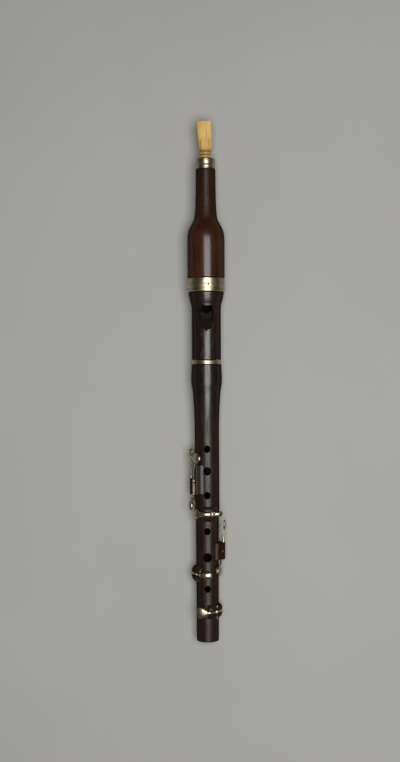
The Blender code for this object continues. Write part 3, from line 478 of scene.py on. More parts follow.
def tubeRadius(station):
    for (low, lowRadius), (high, highRadius) in zip(tubeProfile, tubeProfile[1:]):
        if low <= station <= high:
            return between(lowRadius, highRadius, (station - low) / (high - low))
    return tube["footRadius"]


keyWorks = {"pinRadius": 0.5, "boss": 1.35, "thickness": 1.2, "lift": 0.5, "touchThickness": 0.55,
            "pad": 1.5, "cupRoof": 0.45, "cupDome": 1.0, "cupWall": 0.5, "spring": 0.35, "springWidth": 1.4,
            "toneHole": 2.2, "slotFloor": 0.2}

# Keys along the tube
cKey = {"name": "c", "hole": 146.8, "pivot": 128.8, "touch": 109.2, "azimuth": -60, "cup": -50,
        "touchAzimuth": -68, "facing": -60, "cupRadius": 4.3, "pinHeight": 12.2, "touchHeight": 14.4,
        "touchLength": 8.0, "touchWidth": 5.2, "taper": 0.2, "pinSide": 1, "pinOut": 5.4, "pinIn": 4.2,
        "cupReach": 9.6, "touchReach": 10.5, "armFacing": -66, "armWidth": 2.4, "armCrown": 0.6,
        "crown": 1.0}
bFlatKey = {"name": "bFlat", "hole": 110.5, "pivot": 124.0, "touch": 151.2, "azimuth": -93, "cup": -118,
            "touchAzimuth": -80, "facing": -46, "cupRadius": 3.9, "pinHeight": 12.3, "touchHeight": 13.5,
            "touchLength": 6.4, "touchWidth": 4.2, "taper": 0.2, "pinSide": -1, "pinOut": 5.4, "pinIn": 1.9,
            "cupReach": 6.5, "touchReach": 6.5, "armFacing": -70, "armWidth": 2.4, "armCrown": 0.6,
            "crown": 0.2}
longFKey = {"name": "longF", "hole": 56.5, "pivot": 72.1, "touch": 92.8, "azimuth": 87, "cup": 66,
            "touchAzimuth": 88, "facing": 72, "cupRadius": 4.1, "pinHeight": 12.4, "touchHeight": 13.9,
            "touchLength": 8.0, "touchWidth": 4.2, "taper": 0.2, "pinSide": -1, "pinOut": 3.4, "pinIn": 2.8,
            "cupReach": 6.7, "touchReach": 6.7, "armFacing": 63, "armWidth": 2.4, "armCrown": 0.6,
            "crown": 0.75}

# Keys across it, each with its bead of wood
gSharpKey = {"name": "gSharp", "hole": 102.6, "azimuth": 20, "cup": -50, "touchAzimuth": 53, "facing": 35,
             "cupRadius": 3.9, "armWidth": 4.4, "touchHeight": 13.2, "touchLength": 4.6, "touchWidth": 4.4,
             "taper": 0.0, "beadLength": 12.0, "beadHeight": 2.9, "beadFrom": -26, "beadTo": 46,
             "pinLow": 3.6, "pinHigh": 3.6, "armCrown": 1.2, "crown": 0.4}
shortFKey = {"name": "shortF", "hole": 54.3, "azimuth": -55, "cup": -133, "touchAzimuth": -4, "facing": -6,
             "cupRadius": 4.1, "armWidth": 2.4, "touchHeight": 12.9, "touchLength": 9.4, "touchWidth": 5.8,
             "taper": 0.6, "beadLength": 12.6, "beadHeight": 3.9, "beadFrom": -102, "beadTo": -21,
             "pinLow": 5.4, "pinHigh": 5.4, "armCrown": 0.8, "crown": 1.4}
dSharpKey = {"name": "dSharp", "hole": 24.5, "azimuth": 43, "cup": 127, "touchAzimuth": -17, "facing": -8,
             "cupRadius": 4.1, "armWidth": 2.4, "touchHeight": 12.9, "touchLength": 10.2, "touchWidth": 8.8,
             "taper": 0.7, "beadLength": 11.0, "beadHeight": 3.0, "beadFrom": -3, "beadTo": 100,
             "pinLow": 6.3, "pinHigh": 4.8, "armCrown": 0.8, "crown": 1.2}
longKeys, crossKeys = (cKey, bFlatKey, longFKey), (gSharpKey, shortFKey, dSharpKey)
nodeNames = {"c": "c", "bFlat": "b_flat", "longF": "long_f", "gSharp": "g_sharp", "shortF": "short_f",
             "dSharp": "d_sharp"}


def padRadius(key):
    return key["cupRadius"] - keyWorks["cupWall"] - gap


def seatHeight(key):
    return math.sqrt(tubeRadius(key["hole"]) ** 2 - (padRadius(key) + gap) ** 2)


def roofHeight(key):
    return seatHeight(key) + 2 * gap + keyWorks["pad"]


def pinHeight(key):
    return key.get("pinHeight", tubeRadius(key["hole"]) + keyWorks["slotFloor"] + gap + keyWorks["boss"])


def reamer(station, azimuth, radius, surface, flare=0.35):
    # A finger hole's cutter, wider at the surface so that the rim is eased
    low, high = 2.3, surface + 4
    profile = [(low, radius), (surface - flare * 1.4, radius), (surface - flare * 0.7, radius + flare * 0.2),
               (surface - flare * 0.1, radius + flare * 0.75), (surface + 0.3, radius + flare * 1.5),
               (high, radius + flare * 1.5)]
    shares = [((height - low) / (high - low), wide) for height, wide in profile]
    return bar("cutter", spot(station, azimuth, low), spot(station, azimuth, high), shares, 40)


def beadMount(key):
    radius = tubeRadius(key["hole"])
    rings = []
    for i in range(57):
        azimuth = between(key["beadFrom"], key["beadTo"], i / 56)
        edge = min(azimuth - key["beadFrom"], key["beadTo"] - azimuth) / 14
        height = key["beadHeight"] * max(0.03, min(1.0, math.sin(min(edge, 1) * math.pi / 2))) ** 0.6
        ring = []
        for k in range(25):
            turn = math.pi * k / 24
            ring.append(spot(key["hole"] + key["beadLength"] / 2 * math.cos(turn), azimuth,
                             radius - 0.2 + (height + 0.2) * math.sin(turn) ** 0.8))
        half = key["beadLength"] / 2
        ring += [spot(key["hole"] + way * half, azimuth, radius - 1.2) for way in (-1, 1)]
        rings.append(ring)
    return skin("mount", rings)


def slotFloor(key):
    return min(key["pinHeight"] - keyWorks["boss"], roofHeight(key)) - gap


def leverSlot(key, low, high):
    half = key["armWidth"] / 2 + gap
    return slab((low, high), key["azimuth"], (-half, half), (slotFloor(key), 27))


def keyCuts(key):
    # The flat seat under a pad, with its tone hole
    seat = seatHeight(key)
    seatCut = bar("cutter", spot(key["hole"], key["cup"], seat), spot(key["hole"], key["cup"], seat + 4),
                  ((0, key["cupRadius"] + 0.6), (1, key["cupRadius"] + 0.9)), 48)
    return [seatCut, reamer(key["hole"], key["cup"], keyWorks["toneHole"], seat, 0.2)]


blocks = {
    "front": ((3.0, 4.0), (6.2, 5.0), (6.6, 7.25), (5.45, 9.05), (5.0, 12.9), (0.2, 12.9), (0.2, 5.0)),
    "back": ((0.4, 5.0), (0.4, 12.9), (-4.6, 12.9), (-5.0, 8.0), (-4.0, 5.0)),
    "under": ((3.0, 6.0), (2.8, 13.7), (-4.2, 13.7), (-5.4, 10.5), (-6.5, 5.0)),
    "right": ((-5.6, 3.0), (-6.15, 6.7), (-6.15, 8.8), (-2.5, 14.2), (3.6, 14.2), (6.0, 9.0), (6.0, 4.0))}


def makeBody():
    rim, seat = layout["rim"], tube["ferruleSeat"]
    ferruleLow = rim - tube["ferruleLength"] - gap
    outline = soften([(0, layout["footBore"]), (0, tube["footRadius"] - 0.05), (0.9, tube["footRadius"])],
                     0.6, 5)[:-1]
    outline = [point for point in outline if point[0] < 0.7] + flowing(tubeProfile, 3.0)
    outline += soften([(ferruleLow - 0.4, 11.9), (ferruleLow, 11.6), (ferruleLow, seat), (rim, seat),
                       (rim, tube["socket"]), (rim - tube["socketDepth"], tube["socket"]),
                       (rim - tube["socketDepth"], layout["headBore"])], 0.2)
    body = lathe("tubeWood", outline, 128)
    added = [block("front cheek", blocks["front"], cKey["azimuth"], 118.3, 141.5),
             block("back cheek", blocks["back"], cKey["azimuth"], 118.3, 130.4),
             block("under block", blocks["under"], bFlatKey["azimuth"], 117.5, 130.5),
             block("right block", blocks["right"], longFKey["azimuth"], 65.4, 78.8)]
    added += [beadMount(key) for key in crossKeys]
    carve(body, added, "UNION")
    fingers = [(station, 0, radius) for station, radius in tube["holes"]]
    station, radius = tube["thumbHole"]
    tools = [reamer(station, azimuth, radius, tubeRadius(station) - radius ** 2 / 40)
             for station, azimuth, radius in fingers + [(station, 180, radius)]]
    tools += [leverSlot(cKey, 117.3, 142.8), leverSlot(bFlatKey, 115.5, 131.5),
              leverSlot(longFKey, 64.4, 79.8),
              slab((138.1, 142.8), cKey["azimuth"], (0, 4.6), (slotFloor(cKey), 27))]
    for key in longKeys:
        side = sideways(key["azimuth"]) * key["pinSide"] / 1000
        axle = spot(key["pivot"], key["azimuth"], key["pinHeight"])
        start, end = axle - side * (key["pinIn"] + gap), axle + side * (key["pinOut"] + 4)
        tools.append(pin("cutter", start, end, 0.62))
        tools += keyCuts(key)
    for key in crossKeys:
        half = key["armWidth"] / 2 + gap
        floor = tubeRadius(key["hole"]) + keyWorks["slotFloor"]
        tools.append(lathe("cutter", [(key["hole"] - half, floor), (key["hole"] - half, 27),
                                      (key["hole"] + half, 27), (key["hole"] + half, floor)], 128))
        tools.append(pin("cutter", spot(key["hole"] - key["pinLow"] - gap, key["azimuth"], pinHeight(key)),
                         spot(key["hole"] + key["pinHigh"] + gap, key["azimuth"], pinHeight(key)), 0.62))
        tools += keyCuts(key)
    carve(body, tools)
    even(body)
    dress(body, darkWood, "lower_tube", "dark_wood", "body")


makeBody()

rimFerrule = {"low": 221.9, "high": 224.8, "inner": 10.65, "outer": 11.95}
ferrule = lathe("rimFerrule", soften([
    (rimFerrule["low"], rimFerrule["inner"]), (rimFerrule["low"], 11.8), (222.15, rimFerrule["outer"]),
    (223.1, 11.93), (223.2, 11.82), (223.3, 11.93), (224.5, rimFerrule["outer"]),
    (rimFerrule["high"], 11.72), (rimFerrule["high"], rimFerrule["inner"])], 0.18))
dress(ferrule, ferruleMetal, "lower_tube", "nickel_silver", "rim_ferrule")


print("head joint")
head = {"radius": 11.64, "flareRadius": 14.1, "tenonLength": 21.0, "tenon": 7.7, "upperTenonLength": 17.7,
        "upperTenon": 10.7, "cork": 0.9, "corkMargin": 2.2, "windowTop": 268.2, "labium": 263.7,
        "rampEnd": 248.9, "windowWidth": 9.3, "lipHeight": 5.0, "windwayWidth": 8.0, "windwayRoof": 5.7,
        "windwayFloor": 4.3,
        "flare": ((16.0, 0.0), (13.0, 0.02), (11.4, 0.05), (10.3, 0.09), (10.15, 0.17), (9.7, 0.2),
                  (9.0, 0.28), (8.0, 0.4), (7.0, 0.505), (6.0, 0.605), (5.0, 0.7), (3.0, 0.86),
                  (2.0, 0.94), (1.0, 1.0), (0.4, 1.0))}


def corkSeat(low, high, tenon, outer):
    seat = outer - head["cork"] - gap
    return [(low, tenon), (low, seat), (high, seat), (high, tenon)]


def makeHead():
    base, top, margin = layout["headBase"], layout["headTop"], head["corkMargin"]
    low, high = base - head["tenonLength"], top + head["upperTenonLength"]
    lowerCork, upperCork = tube["socket"] - gap, head["upperTenon"] + 0.6 - gap
    outline = [(low, layout["headBore"]), (low, head["tenon"])]
    outline += corkSeat(low + margin, base - margin, head["tenon"], lowerCork)
    outline += [(base, head["tenon"]), (base, head["radius"] - 0.3), (base + 0.3, head["radius"])]
    bead = [(top - depth, between(head["radius"], head["flareRadius"], share))
            for depth, share in head["flare"]]
    outline += flowing([(base + 0.5, head["radius"]), (base + 12, head["radius"] - 0.02)] + bead[:4], 2.0)
    outline += flowing(bead[3:6], 0.1)[1:] + flowing(bead[5:], 0.6)[1:]
    outline += [(top, head["flareRadius"] - 0.4), (top, head["upperTenon"])]
    outline += corkSeat(top + margin, high - margin, head["upperTenon"], upperCork)
    outline += [(high, head["upperTenon"]), (high, layout["headBore"])]
    joint = lathe("headWood", soften(outline, 0.2), 128)
    half, lip, out = head["windowWidth"] / 2, head["lipHeight"], 28
    slope = (head["radius"] - lip) / (head["labium"] - head["rampEnd"])
    window = slab((head["labium"], head["windowTop"]), 0, (-half, half), (2.15, out))
    ramp = bmesh.new()
    for side in (-1, 1):
        for station, height in ((head["labium"] + 1, lip - slope),
                                (head["rampEnd"] - 3, head["radius"] + 3 * slope)):
            ramp.verts.new(spot(station, 0, height, side * half))
            ramp.verts.new(spot(station, 0, out, side * half * (1 + 0.15 * (out - lip) / half)))
    bmesh.ops.convex_hull(ramp, input=ramp.verts)
    windway = slab((head["labium"] + 1, high + 1), 0, (-head["windwayWidth"] / 2, head["windwayWidth"] / 2),
                   (2.15, head["windwayRoof"]))
    carve(joint, [window, makeObject("cutter", ramp), windway])
    even(joint)
    dress(joint, darkWood, "head", "dark_wood", "head_joint")

    plug = pin("fippleBlock", spot(head["windowTop"] + 0.05, 0, 0), spot(high, 0, 0), 5.5, 0.3)
    carve(plug, [slab((head["windowTop"] - 1, high + 1), 0, (-7, 7), (head["windwayFloor"], 12))])
    dress(plug, darkWood, "head", "dark_wood", "fipple_block")
    for name, start, end, outer, node in (("headTenonCork", low, base, lowerCork, "head_tenon_cork"),
                                          ("windcapCork", top, high, upperCork, "windcap_cork")):
        inner = outer - head["cork"]
        ring = lathe(name, soften([(start + margin + gap, inner), (start + margin + gap, outer),
                                   (end - margin - gap, outer), (end - margin - gap, inner)], 0.3), 64)
        dress(ring, cork, "head", "cork", node)


makeHead()


print("windcap")
cap = {"radius": 14.86, "neck": 7.88, "neckBore": 3.0, "socket": 11.3, "ferruleSeat": 13.4,
       "ferruleLength": 10.7,
       "spigot": 6.78, "spigotTop": 384.2, "beakSocket": 4.42, "beakSocketBase": 371.6, "roof": 322.0,
       "shoulder": ((11.3, 1.0), (38.5, 1.0), (43.3, 0.99), (46.0, 0.955), (48.5, 0.87), (50.8, 0.74),
                    (52.9, 0.58), (55.2, 0.40), (57.7, 0.22), (60.0, 0.155), (62.5, 0.115), (67.3, 0.063),
                    (74.0, 0.04), (82.0, 0.017), (97.4, 0.0)),
       "chamber": ((13.0, 0.0), (10.5, 0.2), (7.5, 0.56), (4.0, 0.88), (0.0, 1.0))}


def makeCap():
    base, ferruleTop = layout["capBase"], layout["capBase"] + cap["ferruleLength"] + gap
    shoulder = [(base + along, between(cap["neck"], cap["radius"], share))
                for along, share in cap["shoulder"]]
    chamber = [(cap["roof"] + along, between(cap["neckBore"], cap["socket"], share))
               for along, share in cap["chamber"]]
    outline = [(base, cap["socket"]), (base, cap["ferruleSeat"]), (ferruleTop, cap["ferruleSeat"]),
               (ferruleTop, cap["radius"] - 0.3)] + flowing(shoulder, 2.0)
    outline += [(layout["neckTop"], cap["spigot"]), (cap["spigotTop"], cap["spigot"]),
                (cap["spigotTop"], cap["beakSocket"]), (cap["beakSocketBase"], cap["beakSocket"]),
                (cap["beakSocketBase"], cap["neckBore"])] + chamber
    shell = lathe("windcapWood", soften(outline, 0.25), 128)
    rivet = {"station": 284.65, "azimuth": 6, "floor": 12.1, "low": 12.4, "high": 14.75, "out": 18,
             "bore": 0.8}
    floor, low, high, out = (spot(rivet["station"], rivet["azimuth"], rivet[end])
                             for end in ("floor", "low", "high", "out"))
    carve(shell, [pin("cutter", floor, out, rivet["bore"])])
    even(shell)
    dress(shell, capWood, "cap", "cap_wood", "windcap")
    dress(bar("ferruleRivet", low, high, ((0, 0.45), (0.02, 0.5), (0.93, 0.5), (0.97, 0.4), (1, 0.2))),
          pinSteel, "cap", "steel", "ferrule_rivet")

    outer, inner, groove = 14.9, 13.7, 0.15
    ring = [(base, inner), (base, outer - 0.35), (base + 0.35, outer)]
    for share in (0.28, 0.58, 0.84):
        station = base + share * cap["ferruleLength"]
        ring += [(station - groove, outer), (station, outer - 0.1), (station + groove, outer)]
    top = base + cap["ferruleLength"]
    ring += [(top - 0.35, outer), (top, outer - 0.35), (top, inner)]
    wide = lathe("wideFerrule", soften(ring, 0.08, 2), 128)
    carve(wide, [pin("cutter", floor, out, rivet["bore"])])
    even(wide)
    dress(wide, ferruleMetal, "cap", "nickel_silver", "windcap_ferrule")

    low, outer, hole = layout["neckTop"] + gap, 7.68, 4.42
    top = low + 8.1
    waist = between(low, top, 0.4)
    small = lathe("topFerrule", soften([
        (low, 7.08), (low, outer - 0.15), (low + 0.2, outer), (low + 0.75, outer), (low + 0.85, outer - 0.12),
        (low + 0.95, outer), (waist - 0.4, outer), (waist, outer - 0.4), (waist + 0.4, outer),
        (top - 1.1, outer), (top - 1.0, outer - 0.12), (top - 0.9, outer), (top - 0.5, outer),
        (top, outer - 0.5), (top, hole + 0.2), (top - 0.2, hole), (cap["spigotTop"] + 0.1, hole),
        (cap["spigotTop"] + 0.1, 7.08)], 0.16, 3))
    dress(small, ferruleMetal, "cap", "nickel_silver", "top_ferrule")


makeCap()


def makeSponge():
    size = {"low": 298.7, "high": 316.7, "radius": 10.75, "edge": 2.0, "roughness": 0.55}
    profile = [(size["low"], 0.2), (size["low"], size["radius"] - size["edge"]),
               (size["low"] + size["edge"], size["radius"]), (size["high"] - size["edge"], size["radius"]),
               (size["high"], size["radius"] - size["edge"]), (size["high"], 0.2)]
    rounded, outline = soften(profile, 1.5, 4), []
    for (a, b), (c, d) in zip(rounded, rounded[1:]):
        count = max(1, math.ceil(math.hypot(c - a, d - b) / 0.7))
        outline += [(between(a, c, k / count), between(b, d, k / count)) for k in range(count)]
    rings = []
    for station, radius in outline:
        ring = []
        for i in range(80):
            point = spot(station, 360 * i / 80, radius)
            rough = 0.5 + noise.noise(point * 700) * 0.6 + noise.noise(point * 1700) * 0.4
            ring.append(spot(station, 360 * i / 80, radius - min(radius * 0.5, rough * size["roughness"])))
        rings.append(ring)
    piece = skin("spongePlug", rings, sharpAngle=60)
    dress(piece, sponge, "cap", "sponge", "sponge")


makeSponge()


print("beak")
beak = {"stem": 4.12, "tenonLength": 13.5, "lapping": 0.6, "billWidth": 12.6, "billThickness": 5.2,
        "offset": 0.9,
        "bore": 1.5, "slotWidth": 7.0, "slotHeight": 1.3, "slotDepth": 14.0,
        "beads": ((0.0, 0.98), (0.35, 0.98), (0.7, 1.13), (1.3, 1.17), (1.95, 1.13), (2.35, 0.96),
                  (2.95, 0.96),
                  (3.3, 1.13), (3.9, 1.17), (4.45, 1.13), (4.85, 0.97), (6.3, 0.96)),
        "bill": ((0.0, 0.83, 0.0, 2.2), (0.05, 0.87, 0.05, 2.4), (0.16, 0.88, 0.15, 2.7),
                 (0.34, 0.90, 0.35, 3.0), (0.62, 0.95, 0.65, 3.4), (0.84, 0.985, 0.85, 3.6),
                 (0.975, 1.0, 0.97, 3.6), (1.0, 0.95, 1.15, 3.0))}


def beakRing(station, halfWidth, halfHeight, power, shift):
    ring = []
    for i in range(64):
        turn = math.tau * i / 64
        cosine, sine = math.cos(turn), math.sin(turn)
        side = halfWidth * math.copysign(abs(cosine) ** (2 / power), cosine) - shift
        height = halfHeight * math.copysign(abs(sine) ** (2 / power), sine)
        ring.append(spot(station, 0, height, side))
    return ring


def makeBeak():
    stem, base, bill, tip = beak["stem"], layout["stemBase"], layout["billBase"], layout["tip"]
    core, low = stem - beak["lapping"] - gap, base - beak["tenonLength"]
    lapLow, lapHigh = low + 1, base - 1
    rings = [beakRing(station, radius, radius, 2, 0) for station, radius in (
        (low, stem - 0.2), (low + 0.2, stem), (lapLow, stem), (lapLow + 0.01, core), (lapHigh - 0.01, core),
        (lapHigh, stem))]
    rings += [beakRing(base + along, stem * share, stem * share, 2, 0)
              for along, share in flowing(beak["beads"], 0.18)]
    thick, thin = stem + 0.2, beak["billThickness"] / 2
    rows = [(bill + (tip - bill) * along, beak["billWidth"] / 2 * wide, between(thick, thin, share), power,
             beak["offset"] * along) for along, wide, share, power in beak["bill"]]
    rows[-1] = (tip - 0.35, rows[-2][1], rows[-2][2] - 0.02, rows[-2][3], rows[-2][4])
    rows.insert(0, (bill + 0.02, stem * 0.93, stem * 0.93, 2, 0))
    rows[1] = (bill + 0.35, *rows[1][1:])
    rings += [beakRing(*row) for row in flow([row[0] for row in rows], rows, 0.7)]
    end = rows[-1]
    for along, inset in ((0.2, 0.1), (0.31, 0.22), (0.35, 0.42)):
        rings.append(beakRing(end[0] + along, end[1] - inset, end[2] - inset, end[3], end[4]))
    piece = skin("beakBone", rings, sharpAngle=30)
    bore = pin("cutter", spot(low - 1), spot(tip - beak["slotDepth"] + 1), beak["bore"])
    half = beak["slotWidth"] / 2
    mouth = slab((tip - beak["slotDepth"], tip + 1), 0, (-half - beak["offset"], half - beak["offset"]),
                 (-beak["slotHeight"] / 2, beak["slotHeight"] / 2))
    carve(piece, [bore, mouth], sharpAngle=30)
    even(piece)
    dress(piece, bone, "mouthpiece", "bone", "beak")

    start, end, turns = lapLow + gap, lapHigh - gap, 15
    outline = [(start, core + 0.05)]
    for i in range(turns * 6 + 1):
        strand = 0.14 * abs(math.sin(math.pi * i / 6))
        outline.append((between(start, end, i / turns / 6), stem - 0.16 + strand))
    outline.append((end, core + 0.05))
    dress(lathe("threadLapping", outline, 48), cork, "mouthpiece", "cork", "beak_lapping")


makeBeak()


print("keys")


def leverRing(row, across):
    # A bar's section: flat below with eased edges, arched above
    centre, facing, half, low, side, high = Vector(row[:3]), row[3], row[4], row[5], row[6], row[7]
    up, across = outward(facing), across or sideways(facing)
    ease = min(0.18, half * 0.3, (side - low) * 0.6)
    ring = []
    for x, y in ((-half, low + ease), (-half + ease * 0.3, low + ease * 0.3), (-half + ease, low),
                 (half - ease, low), (half - ease * 0.3, low + ease * 0.3), (half, low + ease)):
        ring.append((centre + across * x + up * y) / 1000)
    for k in range(13):
        turn = math.pi * k / 12
        arch = side + (high - side) * math.sin(turn)
        ring.append((centre + across * half * math.cos(turn) + up * arch) / 1000)
    return ring


def place(station, azimuth, height):
    return spot(station, azimuth, height) * 1000


def cupRows(key, along):
    # A shallow domed cup, its sections taken across the arm
    centre, roof, radius = place(key["hole"], key["cup"], 0), roofHeight(key), key["cupRadius"]
    rows = []
    for share in (-0.998, -0.97, -0.9, -0.78, -0.6, -0.4, -0.15, 0.15, 0.4, 0.6, 0.76, 0.88):
        half = radius * math.sqrt(1 - share ** 2)
        if share > 0:
            half = max(half, 1.2)
        dome = roof + keyWorks["cupRoof"] + keyWorks["cupDome"] * (1 - share ** 2) ** 0.8
        rows.append((*(centre + along * share * radius), key["cup"], half, roof - keyWorks["pad"] / 2,
                     roof + keyWorks["cupRoof"] / 2, dome))
    return rows


def touchRows(key, centre, along):
    # The plate under the finger: an oval, or a drop that widens away from its bar
    shares = (-0.95, -0.8, -0.6, -0.35, -0.1, 0.15, 0.4, 0.6, 0.78, 0.9, 0.97, 0.998)
    widths = [math.sqrt(1 - t ** 2) * (1 - key["taper"] * (1 - t) / 2) for t in shares]
    rows = []
    for share, width in zip(shares, widths):
        half = key["touchWidth"] / 2 * width / max(widths)
        if share < 0:
            half = max(half, between(1.0, half, 0.5 + share / 2))
        thin = keyWorks["touchThickness"] * min(1, 0.5 + 1.5 * (1 - abs(share)))
        crown = key["crown"] * (1 - share ** 2) + 0.2
        middle = centre + along * share * key["touchLength"] / 2
        rows.append((*middle, key["facing"], half, -thin, 0, crown))
    return rows


def armRow(key, station, azimuth, height, width=1.0, facing=None):
    half = keyWorks["thickness"] / 2
    facing = azimuth if facing is None else facing
    return (*place(station, azimuth, height), facing, key["armWidth"] / 2 * width, -half, 0, key["armCrown"])


def bossRows(key, station, azimuth, height, way, across):
    rows = []
    for turn in (-72, -50, -25, 0, 25, 50, 72):
        angle = math.radians(turn)
        shift = keyWorks["boss"] * math.sin(angle)
        half = keyWorks["boss"] * max(math.cos(angle), 0.45)
        if across:
            centre = place(station, azimuth + way * math.degrees(shift / height), height)
            facing = azimuth + way * math.degrees(shift / height)
        else:
            centre, facing = place(station + way * shift, azimuth, height), azimuth
        rows.append((*centre, facing, key["armWidth"] / 2, -half, half * 0.3, half))
    return rows


def makeLever(key, rows, across, axle, bearing):
    # Runs a smooth bar through the sections, then cuts the pad's recess and the bearing
    rows = [list(row) for row in rows]
    reach = [0.0]
    for row, following in zip(rows, rows[1:]):
        reach.append(reach[-1] + max((Vector(following[:3]) - Vector(row[:3])).length, 0.02))
    rings = [leverRing(row, across) for row in flow(reach, rows, 0.45)]
    lever = skin(key["name"] + "Lever", rings, sharpAngle=42)
    seat, cup = seatHeight(key), key["cup"]
    recess = bar("cutter", spot(key["hole"], cup, seat), spot(key["hole"], cup, roofHeight(key)),
                 ((0, padRadius(key) + 0.15), (1, padRadius(key) + 0.15)), 40)
    hole = bar("cutter", axle - bearing, axle + bearing, ((0, 0.62), (1, 0.62)), 24)
    carve(lever, [recess, hole], sharpAngle=42)
    even(lever)
    name = nodeNames[key["name"]]
    dress(lever, keyMetal, name + "_lever", "nickel_silver", name + "_key")


def makePad(key):
    seat, radius, name = seatHeight(key), padRadius(key), nodeNames[key["name"]]
    profile = ((0, radius - 0.7), (0.05, radius - 0.25), (0.2, radius), (0.6, radius + 0.05),
               (0.95, radius), (1, radius - 0.2))
    piece = bar(key["name"] + "Pad", spot(key["hole"], key["cup"], seat + gap),
                spot(key["hole"], key["cup"], roofHeight(key) - 0.05), profile, 40)
    dress(piece, leather, name + "_lever", "leather", name + "_pad")


def makeSpring(key, rows, across):
    # Rows are (centre, azimuth, height of its lower side)
    rings = []
    for centre, azimuth, height in rows:
        up, side = outward(azimuth), (across or sideways(azimuth)) * keyWorks["springWidth"] / 2
        low, thick = centre + up * height, up * keyWorks["spring"]
        rings.append([(low + side * x + thick * y) / 1000 for x, y in (
            (-1, 0.25), (-0.85, 0), (0.85, 0), (1, 0.25), (1, 0.75), (0.85, 1), (-0.85, 1), (-1, 0.75))])
    name = nodeNames[key["name"]]
    dress(skin(key["name"] + "Spring", rings), pinSteel, name + "_lever", "steel", name + "_spring")


def makeLongKey(key):
    way = 1 if key["touch"] > key["pivot"] else -1
    along, pivot, azimuth, height = Vector((0, way, 0)), key["pivot"], key["azimuth"], key["pinHeight"]
    roof, lift = roofHeight(key) + keyWorks["thickness"] / 2, height + keyWorks["lift"]
    cupEdge, cupBend = key["hole"] + way * key["cupRadius"], pivot - way * key["cupReach"]
    touchBend, touchEdge = pivot + way * key["touchReach"], key["touch"] - way * key["touchLength"] / 2
    boss = 1.6 * keyWorks["boss"]
    rows = cupRows(key, along)
    for share in (0.15, 0.4, 0.7, 1.0):
        station, turned = between(cupEdge, cupBend, share), between(key["cup"], azimuth, share)
        rows.append(armRow(key, station, turned, roof, 0.95))
    station = between(cupBend, pivot - way * boss, 0.5)
    rows.append(armRow(key, station, azimuth, between(roof, height, 0.5), 0.95))
    rows.append(armRow(key, pivot - way * boss, azimuth, height))
    rows += bossRows(key, pivot, azimuth, height, way, None)
    rows.append(armRow(key, pivot + way * boss, azimuth, lift))
    rows.append(armRow(key, between(pivot + way * boss, touchBend, 0.6), azimuth, lift, 0.95))
    for share, turned in ((0.0, 0.0), (0.25, 0.8), (0.5, 1.0), (0.75, 1.0)):
        rows.append(armRow(key, between(touchBend, touchEdge, share),
                           between(azimuth, key["touchAzimuth"], share),
                           between(lift, key["touchHeight"], share), 0.85,
                           between(azimuth, key["armFacing"], turned)))
    rows += touchRows(key, place(key["touch"], key["touchAzimuth"], key["touchHeight"]), along)
    axle, side = spot(pivot, azimuth, height), sideways(azimuth) / 1000
    makeLever(key, rows, None, axle, side * 3)
    makePad(key)
    name = nodeNames[key["name"]]
    side = side * key["pinSide"]
    start, end = axle - side * key["pinIn"], axle + side * key["pinOut"]
    dress(pin(key["name"] + "Pin", start, end, keyWorks["pinRadius"]), pinSteel, "lower_tube", "steel",
          name + "_pin")
    springs = []
    for i in range(17):
        share = i / 16
        station = between(pivot + way * (key["touchReach"] + 1), key["touch"], share)
        low = between(lift - keyWorks["thickness"] / 2 - gap - keyWorks["spring"] + 0.15,
                      tubeRadius(key["touch"]) + gap - 0.15, share)
        bow = 0.35 * math.sin(math.pi * share)
        springs.append((place(station, 0, 0), between(azimuth, key["touchAzimuth"], share), low + bow * 0.3))
    makeSpring(key, springs, None)


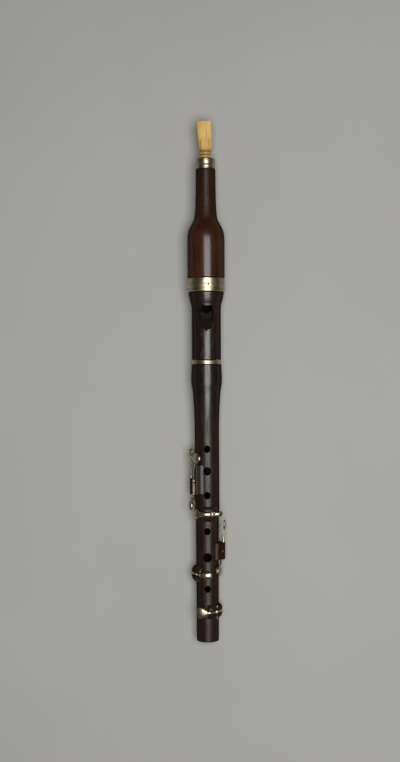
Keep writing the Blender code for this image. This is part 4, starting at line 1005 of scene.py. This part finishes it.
def makeCrossKey(key):
    way = 1 if key["azimuth"] > key["cup"] else -1
    azimuth, height, station, across = key["azimuth"], pinHeight(key), key["hole"], Vector((0, 1, 0))
    roof = roofHeight(key) + keyWorks["thickness"] / 2
    cupHalf = math.degrees(math.atan(key["cupRadius"] / roof))
    touchHalf = math.degrees(key["touchLength"] / 2 / key["touchHeight"])
    bossHalf = math.degrees(1.6 * keyWorks["boss"] / height)
    cupEnd, touchStart = key["cup"] + way * cupHalf, key["touchAzimuth"] - way * touchHalf
    rows = cupRows(key, sideways(key["cup"]) * way)
    for share in (0.12, 0.25, 0.4, 0.6, 0.8, 1.0):
        rows.append(armRow(key, station, between(cupEnd, azimuth - way * bossHalf, share),
                           between(roof, height + 0.4, share), 0.9))
    rows += bossRows(key, station, azimuth, height, way, across)
    for share in (0.0, 0.25, 0.5, 0.75):
        rows.append(armRow(key, station, between(azimuth + way * bossHalf, touchStart, share),
                           between(height + 0.4, key["touchHeight"], share), 0.85))
    centre = place(station, key["touchAzimuth"], key["touchHeight"])
    rows += touchRows(key, centre, sideways(key["facing"]) * way)
    axle = spot(station, azimuth, height)
    makeLever(key, rows, across, axle, across * 0.003)
    makePad(key)
    name = nodeNames[key["name"]]
    wire = keyWorks["pinRadius"]
    start, end = axle - across * key["pinLow"] / 1000, axle + across * key["pinHigh"] / 1000
    profile = ((0, wire * 0.2), (0.008, wire * 0.6), (0.022, wire * 0.9), (0.04, wire), (0.96, wire),
               (0.978, wire * 0.9), (0.992, wire * 0.6), (1, wire * 0.2))
    dress(bar(key["name"] + "Pin", start, end, profile), keyMetal if key is dSharpKey else pinSteel,
          "lower_tube", "steel", name + "_pin")
    floor = tubeRadius(station) + keyWorks["slotFloor"]
    springs = []
    for i in range(17):
        share = i / 16
        turn = between(azimuth + way * (bossHalf + 4), key["touchAzimuth"], share)
        springs.append((place(station, 0, 0), turn, between(height - 0.5, floor + gap - 0.15, share)))
    makeSpring(key, springs, across)


for key in longKeys:
    makeLongKey(key)
for key in crossKeys:
    makeCrossKey(key)


print("stage, light and camera")
stage = {"size": 3.0, "colour": (0.415, 0.41, 0.392), "shade": (0.37, 0.366, 0.352), "lampSize": (0.80, 0.80),
         "lampPlace": (0.16, -0.07, 1.2), "lampPower": 14.9, "world": 0.06}


def makeStage():
    bm = bmesh.new()
    bmesh.ops.create_grid(bm, x_segments=2, y_segments=2, size=stage["size"] / 2)
    mesh = bpy.data.meshes.new("floor")
    bm.to_mesh(mesh)
    bm.free()
    floor = bpy.data.objects.new("floor", mesh)
    scene.collection.objects.link(floor)
    finish = Finish("paper", {"Roughness": 0.9, "Specular IOR Level": 0.1})
    tone = finish.noise(9, (1, 1, 1), 2, 0.4)
    tooth = finish.noise(1800, (1, 1, 1), 2, 0.1)
    cast = finish.ramp(tone, 0.3, 0.7) * 0.3 + tooth * 0.2
    finish.set("Base Color", finish.mix(cast, stage["colour"], stage["shade"]))
    mesh.materials.append(finish.material)

    lamp = bpy.data.lights.new("softBox", "AREA")
    lamp.shape = "RECTANGLE"
    lamp.size, lamp.size_y = stage["lampSize"]
    lamp.energy = stage["lampPower"]
    held = bpy.data.objects.new("softBox", lamp)
    held.location = stage["lampPlace"]
    scene.collection.objects.link(held)
    world = bpy.data.worlds.new("room")
    world.use_nodes = True
    world.node_tree.nodes["Background"].inputs["Color"].default_value = (stage["world"],) * 3 + (1,)
    scene.world = world


def makeCamera():
    view = {"place": (-0.0053, 0.0007, 0.8535), "fieldHeight": 39.9, "roll": -0.3}
    camera = bpy.data.cameras.new("overhead")
    camera.sensor_fit = "VERTICAL"
    camera.sensor_height = 24
    camera.lens = camera.sensor_height / 2 / math.tan(math.radians(view["fieldHeight"] / 2))
    held = bpy.data.objects.new("overhead", camera)
    held.location = view["place"]
    held.rotation_euler = (0, 0, math.radians(view["roll"]))
    scene.collection.objects.link(held)
    scene.camera = held


makeStage()
makeCamera()
scene.view_settings.view_transform = "Standard"
